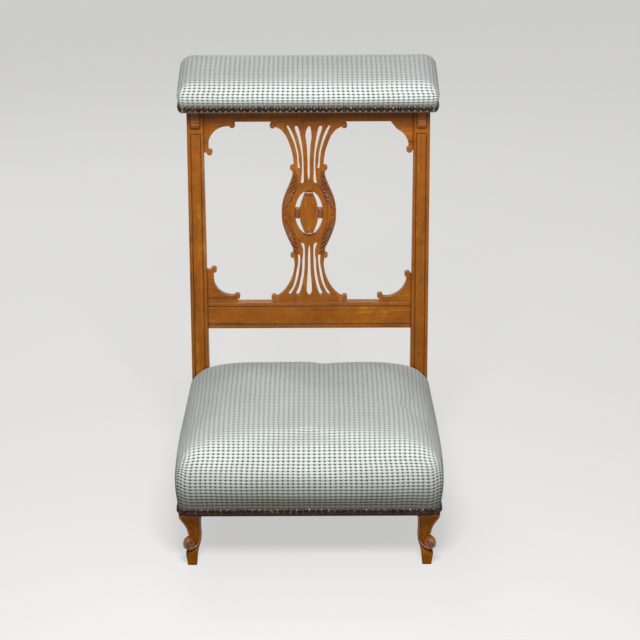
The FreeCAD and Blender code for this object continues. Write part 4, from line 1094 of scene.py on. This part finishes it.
def legEdge(levels, useInner, useFront):
    # places along one raised edge of the right leg, on its front face or on its outer side
    cornerX, cornerY = legCarving["corner"]
    places = []
    for height, near, far in levels:
        nearIn, edgeIn = near * legCarving["block"], legCarving["edgeIn"]
        farIn = far * legCarving["block"] - edgeIn if useInner else nearIn + edgeIn
        insets = (farIn, nearIn) if useFront else (nearIn, farIn)
        places.append((cornerX - insets[0], cornerY + insets[1], height * legCarving["height"]))
    return places


def rightLegCarving():
    volute, joint = frontVolute()
    levels, centre = legCarving["levels"], Vector(legCarving["volute"])
    inner = legEdge(levels, True, True) + [tuple(centre + Vector(step)) for step in legCarving["curl"]]
    outer = legEdge([row for row in levels if row[0] > legCarving["outerUntil"]], False, True)
    side = legEdge(levels + legCarving["sideEnd"], True, False)
    sideSizes = [1.0] * (len(side) - 2) + [0.8, 0.4]
    ridge = legCarving["ridge"]
    edges = [makeRidge(inner + [tuple(joint)], ridge), makeRidge(outer, ridge)]
    return joinPieces([volute, *edges, makeRidge(side, ridge, sideSizes)])


rightCarving = rightLegCarving()
leftCarving = placedCopy(rightCarving, Matrix.Diagonal((-1, 1, 1, 1)))
legCarvings = joinPieces([rightCarving, leftCarving])
legCarvings.data.transform(Matrix.Translation((0, postFront, 0)))
turnOutward(legCarvings)
# the leg's raised edges take the carved wood, whose paler, pinker edges are partly a painted highlight
keepPiece(legCarvings, "legCarving", carvedWood, 50)
print("leg carving made:", len(legCarvings.data.polygons), "faces")


# floor, lamps and camera
studio = {
    "floorSize": 40.0, "floorSeen": (0.30, 0.298, 0.294), "floorBounce": (0.26, 0.24, 0.22),
    # the floor's glow, for the rays that show it, keeps it pale without lighting the chair from below
    "floorGlow": 0.54,
    "worldColour": (0.985, 0.99, 1.0), "worldStrength": 0.20, "worldSeen": 0.61,
    # soft boxes: place from the middle of the posts' front, width, watts and colour
    "key": ((0.02, -1.52, 1.48), 0.50, 33.5, (1.0, 0.99, 0.975)),
    "rear": ((-0.55, 2.20, 2.30), 1.20, 26.0, (1.0, 0.995, 0.985)),
    "lampAim": (0.0, -0.15, 0.45),
    "camera": (0.020, -4.224, 1.751), "cameraDown": 18.7, "cameraRoll": -0.22, "lens": 132.4,
}
deselectAll()
bpy.ops.mesh.primitive_plane_add(size=studio["floorSize"])
floor = bpy.context.object
floor.name = "floor"
floorMaterial, floorShader = startMaterial("paleFloor")


def seenRays(material):
    # 1 for the rays that show the floor or the room, 0 for those that light the object
    rays = addNode(material, "ShaderNodeLightPath")
    seen = addMath(material, "MAXIMUM", rays.outputs["Is Camera Ray"], rays.outputs["Is Glossy Ray"])
    return addMath(material, "MAXIMUM", seen, rays.outputs["Is Transmission Ray"])


seen = seenRays(floorMaterial)
floorColour = addMix(floorMaterial, seen, (*studio["floorBounce"], 1), (*studio["floorSeen"], 1))
fillSockets(floorMaterial, floorShader, {
    "Base Color": floorColour, "Roughness": 0.9, "Specular IOR Level": 0.1,
    "Emission Color": (1.0, 0.995, 0.985, 1),
    "Emission Strength": addMath(floorMaterial, "MULTIPLY", seen, studio["floorGlow"]),
})
floor.data.materials.append(floorMaterial)

world = bpy.data.worlds.new("studio")
bpy.context.scene.world = world
world.use_nodes = True
background = world.node_tree.nodes["Background"]
extra = studio["worldSeen"] - studio["worldStrength"]
strength = addMath(world, "MULTIPLY_ADD", seenRays(world), extra, studio["worldStrength"])
fillSockets(world, background, {"Color": (*studio["worldColour"], 1), "Strength": strength})

for name in ("key", "rear"):
    place, width, watts, colour = studio[name]
    deselectAll()
    bpy.ops.object.light_add(type="AREA", location=(place[0], postFront + place[1], place[2]))
    lamp = bpy.context.object
    lamp.name = name
    lamp.data.shape = "SQUARE"
    lamp.data.size = width
    lamp.data.energy = watts
    lamp.data.color = colour
    lamp.visible_camera = False
    aim = Vector(studio["lampAim"]) + Vector((0, postFront, 0)) - lamp.location
    lamp.rotation_euler = aim.to_track_quat("-Z", "Y").to_euler()

deselectAll()
bpy.ops.object.camera_add()
camera = bpy.context.object
camera.name = "camera"
camera.data.lens = studio["lens"]
camera.data.sensor_width = 36
camera.data.clip_end = 60
cameraX, cameraY, cameraZ = studio["camera"]
camera.matrix_world = (
    Matrix.Translation((cameraX, postFront + cameraY, cameraZ))
    @ Matrix.Rotation(math.radians(90 - studio["cameraDown"]), 4, "X")
    @ Matrix.Rotation(math.radians(studio["cameraRoll"]), 4, "Z")
)
bpy.context.scene.camera = camera
bpy.context.scene.view_settings.view_transform = "Standard"
print("floor, lamps and camera set")
